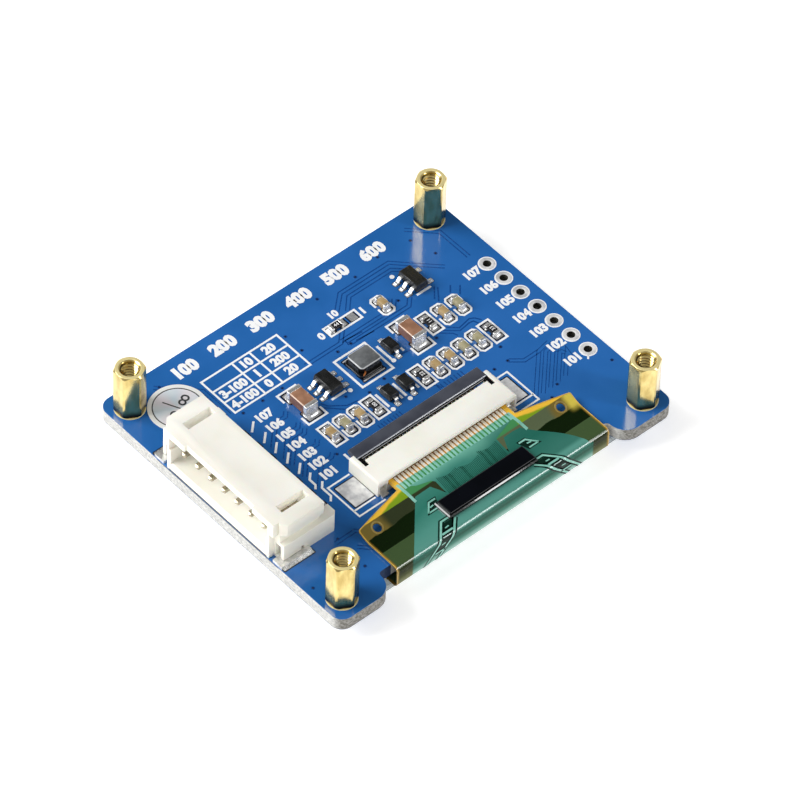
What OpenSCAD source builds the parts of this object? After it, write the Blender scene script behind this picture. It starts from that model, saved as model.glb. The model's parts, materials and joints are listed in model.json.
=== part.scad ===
// Small colour OLED display module, seen from its rear in use: a circuit board with the
// display panel stuck under it, the panel's film folded through a notch in the board's
// edge and over to a film socket, a side-entry pin header, small parts and hex standoffs.
// Millimetres. The display faces down. The origin is the middle of the panel's front
// plane, under the centre of the board; +X runs from the header to the row of plated
// holes, and the film comes over the -Y edge.

/* [Circuit board] */
// Length of the board along X
board_l = 44.5; // [44:0.5:56]
// Width of the board along Y
board_w = 37; // [36.5:0.5:44]
// Thickness of the board
board_t = 1.6; // [0.8:0.2:2]
// Radius of the board's corners
corner_r = 1.4; // [0.4:0.1:2]
// Length of the notch that the film passes through
notch_l = 30.5; // [29.5:0.1:31.5]
// Depth of the notch
notch_d = 2.5; // [2:0.1:3]
// Radius of the corners at the mouth of the notch
notch_mouth_r = 2; // [0.5:0.1:2.5]
// Radius of the corners at the root of the notch
notch_root_r = 0.5; // [0.2:0.1:0.8]

/* [Plated holes] */
// Number of plated holes in the row near the +X edge
pad_count = 7; // [3:2:9]
// Pitch of the plated holes
pad_pitch = 2.54; // [2:0.27:2.54]
// Distance of the row from the board's +X edge
pad_inset = 1.9; // [1.5:0.1:2.2]
// Bore of each plated hole
pad_bore_d = 1; // [0.8:0.1:1.2]
// Diameter of the tinned ring round each plated hole
pad_ring_d = 1.7; // [1.5:0.1:1.9]
// Thickness of the tinned rings
plating_t = 0.05; // [0.03:0.01:0.08]

/* [Standoffs and screws] */
// Distance of the fixing holes from the ends of the board
fixing_inset_x = 2.25; // [2:0.05:2.6]
// Distance of the fixing holes from the sides of the board
fixing_inset_y = 2.4; // [2.1:0.05:2.6]
// Diameter of the fixing holes in the board
fixing_hole_d = 2.2; // [2.1:0.1:2.5]
// Width of a standoff across its flats
standoff_af = 3; // [2.8:0.1:3.2]
// Diameter that the standoff's corners are turned down to
standoff_corner_d = 3.34; // [3.25:0.01:3.6]
// Height of a standoff
standoff_h = 6; // [4:0.5:10]
// Diameter of the standoff's tapped bore, at the crests of its thread
tapped_d = 1.6; // [1.5:0.05:1.7]
// Diameter at the roots of the thread, where a screw fills it
thread_d = 2; // [1.9:0.05:2]
// Diameter of the countersink at the top of the tapped bore
tapped_mouth_d = 2.1; // [1.8:0.05:2.4]
// Chamfer round each end of a standoff
standoff_chamfer = 0.2; // [0.1:0.05:0.3]
// Radial clearance of a screw in the thread
thread_clearance = 0.03; // [0.01:0.01:0.06]
// Clear length of thread past the tip of a screw
screw_tip_gap = 0.2; // [0.1:0.05:0.4]
// Diameter of a screw's head
screw_head_d = 3.6; // [3.2:0.1:3.8]
// Height of a screw's head
screw_head_h = 1.2; // [1:0.1:1.4]
// How far a screw reaches up into its standoff
screw_reach = 2.4; // [1.5:0.1:3]
// Width of one arm of the cross recess in a screw's head
recess_w = 0.45; // [0.3:0.05:0.6]
// Span of the cross recess
recess_span = 1.9; // [1.4:0.1:2.2]
// Depth of the cross recess
recess_d = 0.7; // [0.4:0.1:0.9]

/* [Display panel] */
// Gap between the panel's side and the screws' heads
panel_gap = 1.3; // [0.9:0.1:2.4]
// Width of the panel along Y
panel_w = 34; // [32:0.2:34]
// Thickness of the front glass
front_glass_t = 0.7; // [0.5:0.1:0.8]
// Thickness of the cover glass behind it
cover_glass_t = 0.7; // [0.5:0.1:0.8]
// Width of the strip of front glass left bare for the film
ledge_w = 3.2; // [2.8:0.1:4]
// How far the panel's edge stands out past the root of the notch
panel_overhang = 0.4; // [0:0.1:0.5]
// Thickness of the polariser on the front
polariser_t = 0.2; // [0.15:0.05:0.3]
// Margin of glass left round the polariser on three sides
polariser_margin = 1.2; // [0.6:0.1:2]
// Distance of the mounting tape in from the cover glass's edges
tape_margin = 2.4; // [1:0.1:6]
// Thickness of the mounting tape
tape_t = 0.15; // [0.1:0.05:0.3]

/* [Film] */
// Distance of the film's and socket's centre line from the board's
film_offset = 0.4; // [0:0.1:0.6]
// Thickness of the film
film_t = 0.12; // [0.08:0.01:0.14]
// Width of the film across its wings
film_w = 28.2; // [26:0.2:28.4]
// Length of tongue between the socket's face and the film's shoulders
tongue_free = 1.3; // [1.2:0.1:1.6]
// How far the shoulders slope back from the tongue to the wings
shoulder_drop = 1.3; // [0.8:0.1:1.8]
// Radius of the wings' corners
wing_r = 0.2; // [0.1:0.1:1]
// Diameter of the locating hole in each wing
wing_hole_d = 0.9; // [0.6:0.1:1.2]
// Distance of the locating holes in from the wing's side
wing_hole_inset = 1.9; // [1.4:0.1:2.4]
// Distance of the locating holes behind the shoulder's outer end
wing_hole_drop = 0.7; // [0.5:0.1:1]
// Height of the film's middle above the board where it lies lowest
film_low = 0.3; // [0.2:0.02:0.4]
// How far the fold stands out past the root of the notch
fold_reach = 1.1; // [0.95:0.05:1.3]
// Radius of the fold, to the middle of the film
fold_r = 0.5; // [0.4:0.02:0.54]
// Width of film that is bonded to the panel's ledge
bond_w = 2; // [1.5:0.1:2.4]
// Thickness of the stiffener under the tongue
stiffener_t = 0.16; // [0.1:0.02:0.2]
// How far the stiffener runs on past the tongue, under the shoulders
stiffener_reach = 1.2; // [0.8:0.1:1.3]
// Length of the driver chip along X
chip_l = 11.3; // [8:0.1:14]
// Width of the driver chip
chip_w = 2; // [1.2:0.1:2]
// Thickness of the driver chip
chip_t = 0.6; // [0.3:0.05:0.7]
// Distance from the root of the notch to the middle of the chip
chip_setback = 1.55; // [1.2:0.05:1.7]

/* [Film socket] */
// Distance from the root of the notch to the socket's face
socket_setback = 7.3; // [6.8:0.1:7.8]
// Length of the socket along X
socket_l = 18.45; // [18:0.05:19]
// Length of the socket at each end past the film's tongue
socket_cheek = 1.425; // [1.35:0.025:1.5]
// Depth of the socket's block
block_d = 3.25; // [3.1:0.05:3.4]
// Depth of the socket with the arms behind its block
socket_d = 4.4; // [4.3:0.05:4.8]
// Height of the socket
socket_h = 1.95; // [1.9:0.05:2.3]
// Thickness of each arm
arm_t = 0.6; // [0.5:0.02:0.7]
// Height of the mouth's floor above the board
mouth_floor = 0.92; // [0.9:0.01:0.95]
// Height of the mouth
mouth_h = 0.52; // [0.48:0.01:0.56]
// Number of contacts
contact_count = 30; // [20:1:30]
// Distance from the edge of the film's tongue to the middle of the first contact
contact_margin = 0.55; // [0.45:0.01:0.7]
// Thickness of each contact
contact_t = 0.16; // [0.12:0.01:0.2]
// Width of the slot round each contact
contact_slot = 0.22; // [0.21:0.01:0.26]
// Depth of the beams of each contact
beam_t = 0.2; // [0.15:0.01:0.22]
// Depth of the latch along Y, from its pivot to its free edge
latch_reach = 1.5; // [1.2:0.05:1.5]
// Thickness of the latch
latch_t = 0.7; // [0.6:0.02:0.74]
// Gap between the block and the space that the latch's front edge turns in
latch_gap = 0.25; // [0.15:0.01:0.3]
// Length of the latch's end arms, forward from the pivot
latch_arm = 1.2; // [0.9:0.05:1.25]
// Width of the latch's end arms
latch_arm_w = 0.4; // [0.3:0.02:0.45]
// Diameter of the pins that the latch turns on
latch_pin_d = 0.44; // [0.3:0.02:0.5]
// Length of the pins that the latch turns on
latch_pin_l = 0.3; // [0.2:0.02:0.34]
// Radial clearance of the pins, and clearance beside the latch
latch_clearance = 0.06; // [0.04:0.01:0.08]
// Thickness of the metal of the hold-down nails
nail_t = 0.2; // [0.15:0.01:0.25]
// Width of each hold-down nail
nail_w = 0.9; // [0.6:0.05:0.95]
// How far the nails' feet stand out in front of the socket
nail_foot = 0.45; // [0.3:0.05:0.7]
// Height of the nails' legs inside the socket
nail_h = 1.2; // [0.8:0.05:1.5]

/* [Pin header] */
// Number of pins in the header
pin_count = 7; // [5:1:7]
// Pitch of the header's pins
pin_pitch = 2; // [1.8:0.05:2]
// Size of each square pin
pin_w = 0.5; // [0.4:0.02:0.54]
// Height of the middle of the pins above the board
pin_height = 2.8; // [2.5:0.05:3]
// Depth of the header along X
header_d = 7.6; // [7.2:0.1:8.4]
// Depth of the header's tall block
header_block_d = 5.85; // [5.5:0.05:6.1]
// Height of the header
header_h = 5.4; // [5.2:0.1:6]
// Height of the ears at its ends
ear_h = 2.5; // [2.2:0.1:2.9]
// Thickness of the header's floor
header_floor = 1; // [0.8:0.05:1.2]
// Thickness of the header's roof
header_roof = 0.8; // [0.6:0.05:1]
// How far the roof's front edge is set back between its two ends
roof_recess = 0.3; // [0.1:0.05:0.4]
// Length of the header's roof edge that is set back
roof_recess_l = 10.2; // [8:0.2:12]
// Thickness of the header's back wall
header_back = 0.6; // [0.5:0.05:0.8]
// Depth of the header's lip at the ends of its face
lip_h = 1.8; // [1.5:0.05:2]
// Depth of the strips along the ends of the header's roof
strip_h = 1.65; // [1.4:0.05:1.9]
// Clear length of the cavity past the outer pins
cavity_end = 1.2; // [1.1:0.05:1.4]
// Thickness of the cavity's end walls
cavity_wall = 0.5; // [0.4:0.05:0.6]
// Width of the slots in the roof
roof_slot_w = 0.95; // [0.6:0.05:1]
// Length of the slots in the roof
roof_slot_l = 3.45; // [3:0.05:3.6]
// Distance from the header's face to the slots in the roof
roof_slot_inset = 1.8; // [1.6:0.05:1.9]
// How far the ears stand out past the cavity's end walls
ear_w = 1.45; // [1.3:0.05:1.6]
// How far the ears' front is set back from the header's face
ear_setback = 0.7; // [0.5:0.05:1]
// Distance from the header's face to the pins' tips
pin_setback = 0.55; // [0.5:0.05:1.2]
// Gap between the header's back and the pins' legs
leg_gap = 0.5; // [0.3:0.05:0.6]
// Length of each pin's foot past its bend
foot_l = 1.5; // [1.2:0.05:2]
// Thickness of the solder tabs
tab_t = 0.34; // [0.25:0.01:0.4]
// How far the solder tabs stand out past the ears
tab_out = 0.5; // [0.4:0.05:0.6]
// Length of the solder tabs along X
tab_l = 3.9; // [3.2:0.1:4.2]

/* [Inductor] */
// Length of the inductor's base flange along X
coil_base_l = 3; // [2.8:0.1:3.2]
// Width of the inductor's base flange along Y
coil_base_w = 2.9; // [2.6:0.1:3.1]
// Length of the inductor's top flange along X
coil_top_l = 2.75; // [2.3:0.05:2.8]
// Width of the inductor's top flange along Y
coil_top_w = 2.45; // [2.1:0.05:2.6]
// Height of the inductor
coil_h = 1.35; // [1.1:0.05:1.8]
// Thickness of the inductor's flanges
coil_flange_t = 0.3; // [0.2:0.02:0.36]
// Cut at each corner of the inductor's top flange
coil_corner = 0.3; // [0.2:0.05:0.4]
// Diameter of the inductor's core post
coil_post_d = 1.1; // [0.8:0.05:1.2]
// Outer diameter of the winding
coil_winding_d = 2; // [1.8:0.05:2.1]
// Number of turns showing on the winding
coil_turns = 6; // [4:1:8]

/* [Chip parts] */
// Length, width and height of the two large capacitors
large_capacitor_size = [3.05, 1.6, 1.35];
// Length, width and height of the small capacitors
capacitor_size = [1.6, 0.8, 0.75];
// Length, width and height of the resistors
resistor_size = [1.6, 0.8, 0.45];
// Length of the metal ends of the small chip parts
chip_end = 0.32; // [0.2:0.02:0.4]
// Length of the metal ends of the large capacitors
large_chip_end = 0.5; // [0.3:0.05:0.6]
// How far the metal ends stand proud of the chip parts' bodies
chip_end_t = 0.03; // [0.02:0.01:0.05]
// Bevel of the chip parts' edges
chip_bevel = 0.08; // [0.05:0.01:0.1]
// Length, width and height of the moulded bodies of the two small ICs
ic_size = [1.6, 2.9, 1.1];
// Span of the ICs from lead tip to lead tip
ic_span = 2.8; // [2.6:0.05:3.1]
// Pitch of the ICs' leads
ic_pitch = 0.95; // [0.85:0.01:0.95]
// Length, width and height of the diodes' moulded bodies
diode_size = [1.3, 1.75, 0.95];
// Span of a diode from lead tip to lead tip
diode_span = 2.6; // [2.5:0.05:2.8]
// Thickness of the leads of the moulded parts
lead_t = 0.13; // [0.1:0.01:0.16]
// Width of the leads of the moulded parts
lead_w = 0.4; // [0.3:0.02:0.45]
// Diameter of the inspection sticker
sticker_d = 6.2; // [4:0.1:6.2]
// Thickness of the inspection sticker
sticker_t = 0.08; // [0.05:0.01:0.15]

/* [Hidden] */
$fn = 48;
eps = 0.01;
CAPACITORS = 10;
RESISTORS = 5;
DIODES = 3;

// Heights of the stack, from the polariser's face upwards
glass_z = polariser_t;
ledge_z = glass_z + front_glass_t;
tape_z = ledge_z + cover_glass_t;
board_z = tape_z + tape_t;
top_z = board_z + board_t;

// The fixing holes, the notch and the panel
fixing_x = board_l / 2 - fixing_inset_x;
fixing_y = board_w / 2 - fixing_inset_y;
fixing_places = [for (sx = [-1, 1], sy = [-1, 1]) [sx * fixing_x, sy * fixing_y]];
notch_root_y = -board_w / 2 + notch_d;
panel_l = 2 * (fixing_x - screw_head_d / 2 - panel_gap);
panel_front_y = notch_root_y - panel_overhang;
panel_y = panel_front_y + panel_w / 2;
pad_x = board_l / 2 - pad_inset;

// The film's route in the YZ plane, and its outline seen from above
socket_y = notch_root_y + socket_setback;
film_in_z = top_z + mouth_floor + stiffener_t + film_t / 2 + 0.04;
film_low_z = top_z + film_low;
bond_z = ledge_z + film_t / 2;
tongue_end = 2.3;
film_tip_y = socket_y + tongue_end;
slope_start_y = socket_y - tongue_free;
slope_end_y = notch_root_y + chip_setback + chip_w / 2 + 0.3;
fold_y = notch_root_y - fold_reach;
shoulder_y = slope_start_y - shoulder_drop;
bond_end_y = panel_front_y + bond_w;

// The film socket, with v counted from its face towards +Y
pivot_v = block_d + latch_gap + latch_t / 2;
pivot_z = socket_h - latch_t / 2;
arm_in = socket_l / 2 - arm_t;
latch_end = arm_in - latch_clearance;
latch_arm_t = latch_t - 0.2;
latch_front_bevel = 0.1;
latch_arm_swing = sqrt(pow(latch_arm, 2) + pow(latch_arm_t / 2, 2));
pocket_v = pivot_v - latch_arm_swing - latch_clearance;
pocket_z = pivot_z - latch_arm_swing - latch_clearance;
socket_floor = 0.2;
tongue_w = socket_l - 2 * socket_cheek;
contact_pitch = (tongue_w - 2 * contact_margin) / (contact_count - 1);
nail_x = socket_l / 2 - 0.25 - nail_w / 2;

// The header, with u counted from its face towards +X
header_x = -board_l / 2 + 0.05;
cavity_half = (pin_count - 1) * pin_pitch / 2 + cavity_end;
wall_half = cavity_half + cavity_wall;
ear_half = wall_half + ear_w;
web_half = ear_half - 0.65;
lip_half = wall_half + 0.6;

// Places of the parts on the board, from its centre; the small ones stand in rows
front_row_y = 0.43;
back_row_y = 5.3;
row_pitch = 1.9;
back_pitch = 1.96;
left_row_x = -6.95;
right_row_x = 5.1;
diode_row_x = 0.85;
back_row_x = 10.4;
inductor_at = [1.6, back_row_y];
large_capacitor_at = [[left_row_x + 0.37, back_row_y], [back_row_x - 2.5, back_row_y]];
converter_at = [large_capacitor_at[0][0] + 3.6, back_row_y + 0.2];
regulator_at = [back_row_x + 2.45, back_row_y + 5.25];
diode_at = [[right_row_x, back_row_y], [diode_row_x + 2.15, front_row_y + 0.17],
            [diode_row_x, front_row_y + 0.17]];
capacitor_at = concat(
    [for (i = [0:2]) [left_row_x + i * row_pitch, front_row_y]],
    [[back_row_x - 2, back_row_y + 4.9]],
    [for (i = [1:2]) [back_row_x + i * back_pitch, back_row_y]],
    [for (i = [1:4]) [right_row_x + i * row_pitch, front_row_y]]);
resistor_at = [
    [left_row_x + 3 * row_pitch, front_row_y], [back_row_x, back_row_y],
    [right_row_x, front_row_y], [right_row_x + 5 * row_pitch, front_row_y],
    [right_row_x - 2.25, back_row_y + 5.68]];
resistor_turn = [0, 0, 0, 0, 90];

// The sticker lies in the corner, just clear of the header's tab and of the standoff
sticker_y = ear_half + tab_out + 0.2 + sticker_d / 2;
sticker_clear = sticker_d / 2 + standoff_corner_d / 2 + 0.04;
sticker_x = -fixing_x + sqrt(max(pow(sticker_clear, 2) - pow(fixing_y - sticker_y, 2), 0));

// Points along an arc about c, from angle a0 to a1
function arc(c, r, a0, a1, n) =
    [for (i = [0:n]) let (a = a0 + (a1 - a0) * i / n) [c[0] + r * cos(a), c[1] + r * sin(a)]];

// Unit normals of a path, from the points beside each point
function normals(p) = [
    for (i = [0:len(p) - 1])
        let (d = p[min(i + 1, len(p) - 1)] - p[max(i - 1, 0)])
            [-d[1], d[0]] / norm(d)];

// Outline of a layer along a path, between offsets a and b from it
function layer_outline(p, a, b) =
    let (n = normals(p), last = len(p) - 1)
        concat([for (i = [0:last]) p[i] + n[i] * a],
               [for (i = [0:last]) p[last - i] + n[last - i] * b]);

// Outline of a strip of the given thickness along a path
function strip_outline(p, t) = layer_outline(p, t / 2, -t / 2);

// The film's middle line: out of the socket, down to the board, round the fold, to the ledge
function film_path() = concat(
    [[film_tip_y, film_in_z]],
    [for (i = [0:12])
        let (s = i / 12, drop = (1 - cos(180 * s)) / 2)
            [slope_start_y + (slope_end_y - slope_start_y) * s,
             film_in_z + (film_low_z - film_in_z) * drop]],
    arc([fold_y + fold_r, film_low_z - fold_r], fold_r, 90, 180, 8),
    arc([fold_y + fold_r, bond_z + fold_r], fold_r, 180, 270, 8),
    [[bond_end_y, bond_z]]);

// Sets a shape drawn in Y and Z and gives it length l along X, centred
module along_x(l) {
    translate([-l / 2, 0, 0]) rotate([90, 0, 90]) linear_extrude(l) children();
}

// Sets a shape drawn in X and Z and gives it length l along Y, centred
module along_y(l) {
    translate([0, l / 2, 0]) rotate([90, 0, 0]) linear_extrude(l) children();
}

// A rectangle with round corners, centred
module rounded_rect(l, w, r) {
    square([l - 2 * r, w], center = true);
    square([l, w - 2 * r], center = true);
    for (sx = [-1, 1], sy = [-1, 1])
        translate([sx * (l / 2 - r), sy * (w / 2 - r)]) circle(r);
}

// A rectangle with its corners cut off, centred
module cut_rect(l, w, c) {
    polygon([
        [-l / 2 + c, -w / 2], [l / 2 - c, -w / 2], [l / 2, -w / 2 + c], [l / 2, w / 2 - c],
        [l / 2 - c, w / 2], [-l / 2 + c, w / 2], [-l / 2, w / 2 - c], [-l / 2, -w / 2 + c]]);
}

// A block standing on z = 0, centred, with every edge bevelled by b, or its corners by more
module bevel_block(size, b, corner = 0) {
    intersection() {
        linear_extrude(size[2]) cut_rect(size[0], size[1], max(b, corner));
        translate([0, 0, size[2] / 2]) along_x(size[0]) cut_rect(size[1], size[2], b);
        translate([0, 0, size[2] / 2]) along_y(size[1]) cut_rect(size[0], size[2], b);
    }
}

// A block from low to high corner
module block(low, high) {
    translate(low) cube(high - low);
}

// The same block at both ends of a part that is symmetric about y = 0
module both_ends(low, high) {
    for (s = [0, 1]) mirror([0, s, 0]) block(low, high);
}

// The same block at both ends of a part that is symmetric about x = 0
module both_sides(low, high) {
    for (s = [0, 1]) mirror([s, 0, 0]) block(low, high);
}

// Plan of the notch, from below the board's edge up to its root
module notch_plan() {
    mouth_r = min(notch_mouth_r, notch_d - notch_root_r);
    translate([-notch_l / 2, -board_w / 2 - 1]) square([notch_l, 1 + notch_d - notch_root_r]);
    translate([-notch_l / 2 + notch_root_r, -board_w / 2 - 1])
        square([notch_l - 2 * notch_root_r, 1 + notch_d]);
    for (s = [-1, 1]) {
        translate([s * (notch_l / 2 - notch_root_r), notch_root_y - notch_root_r])
            circle(notch_root_r);
        difference() {
            translate([s * (notch_l / 2 + mouth_r / 2), -board_w / 2 + mouth_r / 2 - 0.5])
                square([mouth_r + eps, mouth_r + 1], center = true);
            translate([s * (notch_l / 2 + mouth_r), -board_w / 2 + mouth_r]) circle(mouth_r);
            translate([s * (notch_l / 2 + mouth_r + 1), -board_w / 2 + mouth_r])
                square([2, 2 * mouth_r], center = true);
        }
    }
}

// The board, drilled for the standoffs' screws and the plated holes
module circuit_board() {
    color("royalblue")
    translate([0, 0, board_z])
    difference() {
        linear_extrude(board_t)
            difference() {
                rounded_rect(board_l, board_w, corner_r);
                notch_plan();
            }
        for (p = fixing_places)
            translate([p[0], p[1], -eps]) cylinder(d = fixing_hole_d, h = board_t + 2 * eps);
        for (i = [0:pad_count - 1])
            translate([pad_x, (i - (pad_count - 1) / 2) * pad_pitch, -eps])
                cylinder(d = pad_bore_d, h = board_t + 2 * eps);
    }
}

// A tinned ring on each face of the board, for each plated hole
module plated_holes() {
    color("silver")
    for (i = [0:pad_count - 1], z = [board_z - plating_t, top_z])
        translate([pad_x, (i - (pad_count - 1) / 2) * pad_pitch, z])
            difference() {
                cylinder(d = pad_ring_d, h = plating_t);
                translate([0, 0, -eps]) cylinder(d = pad_bore_d, h = plating_t + 2 * eps);
            }
}

// The front glass, which carries the display and the ledge for the film
module front_glass() {
    color("lightsteelblue", 0.6)
    translate([0, panel_y, glass_z]) linear_extrude(front_glass_t)
        cut_rect(panel_l, panel_w, 0.3);
}

// The cover glass that seals the back of the display, short of the ledge
module cover_glass() {
    color("gainsboro")
    translate([0, panel_y + ledge_w / 2, ledge_z]) linear_extrude(cover_glass_t)
        cut_rect(panel_l, panel_w - ledge_w, 0.3);
}

// The polariser on the front glass, clear of its edges and of the ledge
module polariser() {
    color("black")
    translate([0, panel_y + ledge_w / 2 - polariser_margin / 2, 0]) linear_extrude(polariser_t)
        rounded_rect(panel_l - 2 * polariser_margin, panel_w - ledge_w - polariser_margin, 0.3);
}

// Double-sided tape between the cover glass and the board
module mounting_tape() {
    color("ivory")
    translate([0, panel_y + ledge_w / 2, tape_z]) linear_extrude(tape_t)
        rounded_rect(panel_l - 2 * tape_margin, panel_w - ledge_w - 2 * tape_margin, 0.5);
}

// Half of the film's outline from above: the tongue, the sloping shoulder and the wing
module film_half_plan() {
    half_w = film_w / 2;
    slope = atan2(shoulder_drop, half_w - tongue_w / 2);
    polygon(concat(
        [[0, film_tip_y + 1], [tongue_w / 2, film_tip_y + 1], [tongue_w / 2, slope_start_y]],
        arc([half_w - wing_r, shoulder_y + wing_r * (tan(slope) - 1 / cos(slope))],
            wing_r, 90 - slope, 0, 6),
        [[half_w, fold_y - 1], [0, fold_y - 1]]));
}

// The flexible film that carries the driver chip and folds round to the panel's ledge
module film_cable() {
    color("olivedrab")
    translate([film_offset, 0, 0])
    difference() {
        intersection() {
            along_x(film_w + 2) polygon(strip_outline(film_path(), film_t));
            linear_extrude(top_z + socket_h)
                for (s = [0, 1]) mirror([s, 0, 0]) film_half_plan();
        }
        for (s = [-1, 1])
            translate([s * (film_w / 2 - wing_hole_inset), shoulder_y - wing_hole_drop, top_z])
                cylinder(d = wing_hole_d, h = socket_h);
    }
}

// The stiffener bonded under the film's contact tongue and along its shoulders
module film_stiffener() {
    end_y = slope_start_y - stiffener_reach;
    color("goldenrod")
    translate([film_offset, 0, 0])
    intersection() {
        along_x(film_w + 2)
            polygon(layer_outline(film_path(), film_t / 2, film_t / 2 + stiffener_t));
        linear_extrude(top_z + socket_h)
            intersection() {
                for (s = [0, 1]) mirror([s, 0, 0]) film_half_plan();
                translate([-film_w / 2, end_y]) square([film_w, film_tip_y - end_y + 1]);
            }
    }
}

// The driver chip, bonded to the flat stretch of the film
module driver_chip() {
    color([0.08, 0.08, 0.1])
    translate([film_offset, notch_root_y + chip_setback, film_low_z + film_t / 2])
        bevel_block([chip_l, chip_w, chip_t], 0.05);
}

// Puts a shape in the socket's own frame: v = 0 at its face, z = 0 on the board
module at_socket() {
    translate([film_offset, socket_y, top_z]) children();
}

// Where each contact of the socket stands along X
function contact_x(i) = (i - (contact_count - 1) / 2) * contact_pitch;

// The socket's moulding: a slotted block with the film's mouth, and two arms for the latch
module film_socket_housing() {
    half = socket_l / 2;
    slot_top = mouth_floor + mouth_h + beam_t + 0.1;
    color("ivory")
    at_socket()
    difference() {
        union() {
            block([-half, 0, 0], [half, block_d, socket_h]);
            block([-half, block_d - eps, 0], [half, socket_d, socket_floor]);
            both_sides([arm_in, block_d - eps, 0], [half, socket_d, socket_h]);
        }
        // the film's mouth, with a lead-in at the face
        along_x(tongue_w + 2 * latch_clearance)
            polygon([
                [-eps, mouth_floor - 0.12], [0.25, mouth_floor], [tongue_end + 0.1, mouth_floor],
                [tongue_end + 0.1, mouth_floor + mouth_h], [0.25, mouth_floor + mouth_h],
                [-eps, mouth_floor + mouth_h + 0.12]]);
        for (i = [0:contact_count - 1])
            translate([contact_x(i), 0, 0])
                block([-contact_slot / 2, 0.4, socket_floor],
                      [contact_slot / 2, block_d + eps, slot_top]);
        // pockets that the latch's arms swing down into, and the bores of its pins
        both_sides([arm_in - latch_arm_w - 2 * latch_clearance, pocket_v, pocket_z],
                   [arm_in, block_d + 2 * eps, socket_h + 1]);
        translate([0, pivot_v, pivot_z])
            for (s = [-1, 1])
                translate([s * (arm_in + latch_pin_l / 2), 0, 0]) rotate([0, 90, 0])
                    cylinder(d = latch_pin_d + 2 * latch_clearance,
                             h = latch_pin_l + 2 * eps, center = true);
        // slots for the hold-down nails at the two front corners
        both_sides([nail_x - nail_w / 2, -eps, -eps], [nail_x + nail_w / 2, 0.8, nail_h + 0.05]);
        // bevel along the outer top edge of each end, and the top edge over the mouth
        for (s = [0, 1]) mirror([s, 0, 0])
            translate([half, socket_d / 2, socket_h]) rotate([0, 45, 0])
                cube([0.3, socket_d + 1, 0.3], center = true);
        translate([0, 0, socket_h]) rotate([45, 0, 0])
            cube([socket_l + 1, 0.2, 0.2], center = true);
    }
}

// The rear latch: a plate with a rib at its front edge, two end arms, and pins to turn on
module film_socket_latch() {
    color([0.25, 0.26, 0.3])
    at_socket() translate([0, pivot_v, pivot_z])
    difference() {
        union() {
            along_x(2 * latch_end) {
                circle(d = latch_pin_d);
                polygon([
                    [0, -latch_t / 2], [latch_reach * 0.6, -latch_t / 2],
                    [latch_reach, -latch_t * 0.15], [latch_reach, latch_t / 2 - 0.1],
                    [latch_reach - 0.1, latch_t / 2], [latch_front_bevel, latch_t / 2],
                    [0, latch_t / 2 - latch_front_bevel]]);
            }
            both_sides([latch_end - latch_arm_w, -latch_arm, -latch_arm_t / 2],
                       [latch_end, 0, latch_arm_t / 2]);
            rotate([0, 90, 0])
                cylinder(d = latch_pin_d, h = 2 * (latch_end + latch_pin_l), center = true);
        }
        // shallow scallop under the free edge for a fingernail
        translate([0, latch_reach, -latch_t / 2]) rotate([0, 90, 0])
            cylinder(r = latch_t * 0.45, h = latch_end, center = true);
    }
}

// Side view of one contact, from its solder tail to the beam that presses on the film
module contact_profile() {
    upper = film_in_z - top_z + film_t / 2 + 0.01;
    beam_z = mouth_floor + mouth_h;
    post_v = block_d - 0.7;
    tail_v = socket_d + 0.15;
    polygon([
        [0.55, beam_z], [0.7, upper], [0.9, upper], [1.1, beam_z], [post_v, beam_z],
        [post_v, socket_floor + beam_t], [0.8, socket_floor + beam_t], [0.6, socket_floor + 0.1],
        [0.6, socket_floor], [tail_v - 0.03, socket_floor], [tail_v, 0], [tail_v + 1.3, 0],
        [tail_v + 1.3, beam_t * 0.8], [tail_v + 0.3, beam_t * 0.8],
        [tail_v + 0.2, socket_floor + beam_t], [post_v + 0.4, socket_floor + beam_t],
        [post_v + 0.4, pivot_z - latch_t / 2 - beam_t - 0.1],
        [pivot_v, pivot_z - latch_t / 2 - beam_t - 0.1],
        [pivot_v, pivot_z - latch_t / 2 - 0.1], [post_v + 0.4, pivot_z - latch_t / 2 - 0.1],
        [post_v + 0.4, beam_z + beam_t], [0.7, beam_z + beam_t], [0.55, beam_z + beam_t * 0.7]]);
}

// The row of contacts in the socket
module film_socket_contacts() {
    color("gold")
    at_socket()
    for (i = [0:contact_count - 1])
        translate([contact_x(i), 0, 0]) along_x(contact_t) contact_profile();
}

// A hold-down nail at a front corner of the socket: a foot on the board and a bent leg
module film_socket_nail(side) {
    color("silver")
    at_socket() translate([side * nail_x, 0, 0]) along_x(nail_w - 0.04)
        polygon(strip_outline(concat(
            [[-nail_foot, nail_t / 2]],
            arc([0.25, nail_t / 2 + 0.3], 0.3, 270, 360, 6),
            [[0.55, nail_h]]), nail_t));
}

// Puts a shape in the header's own frame: u = 0 at its face, z = 0 on the board
module at_header() {
    translate([header_x, 0, top_z]) children();
}

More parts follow.
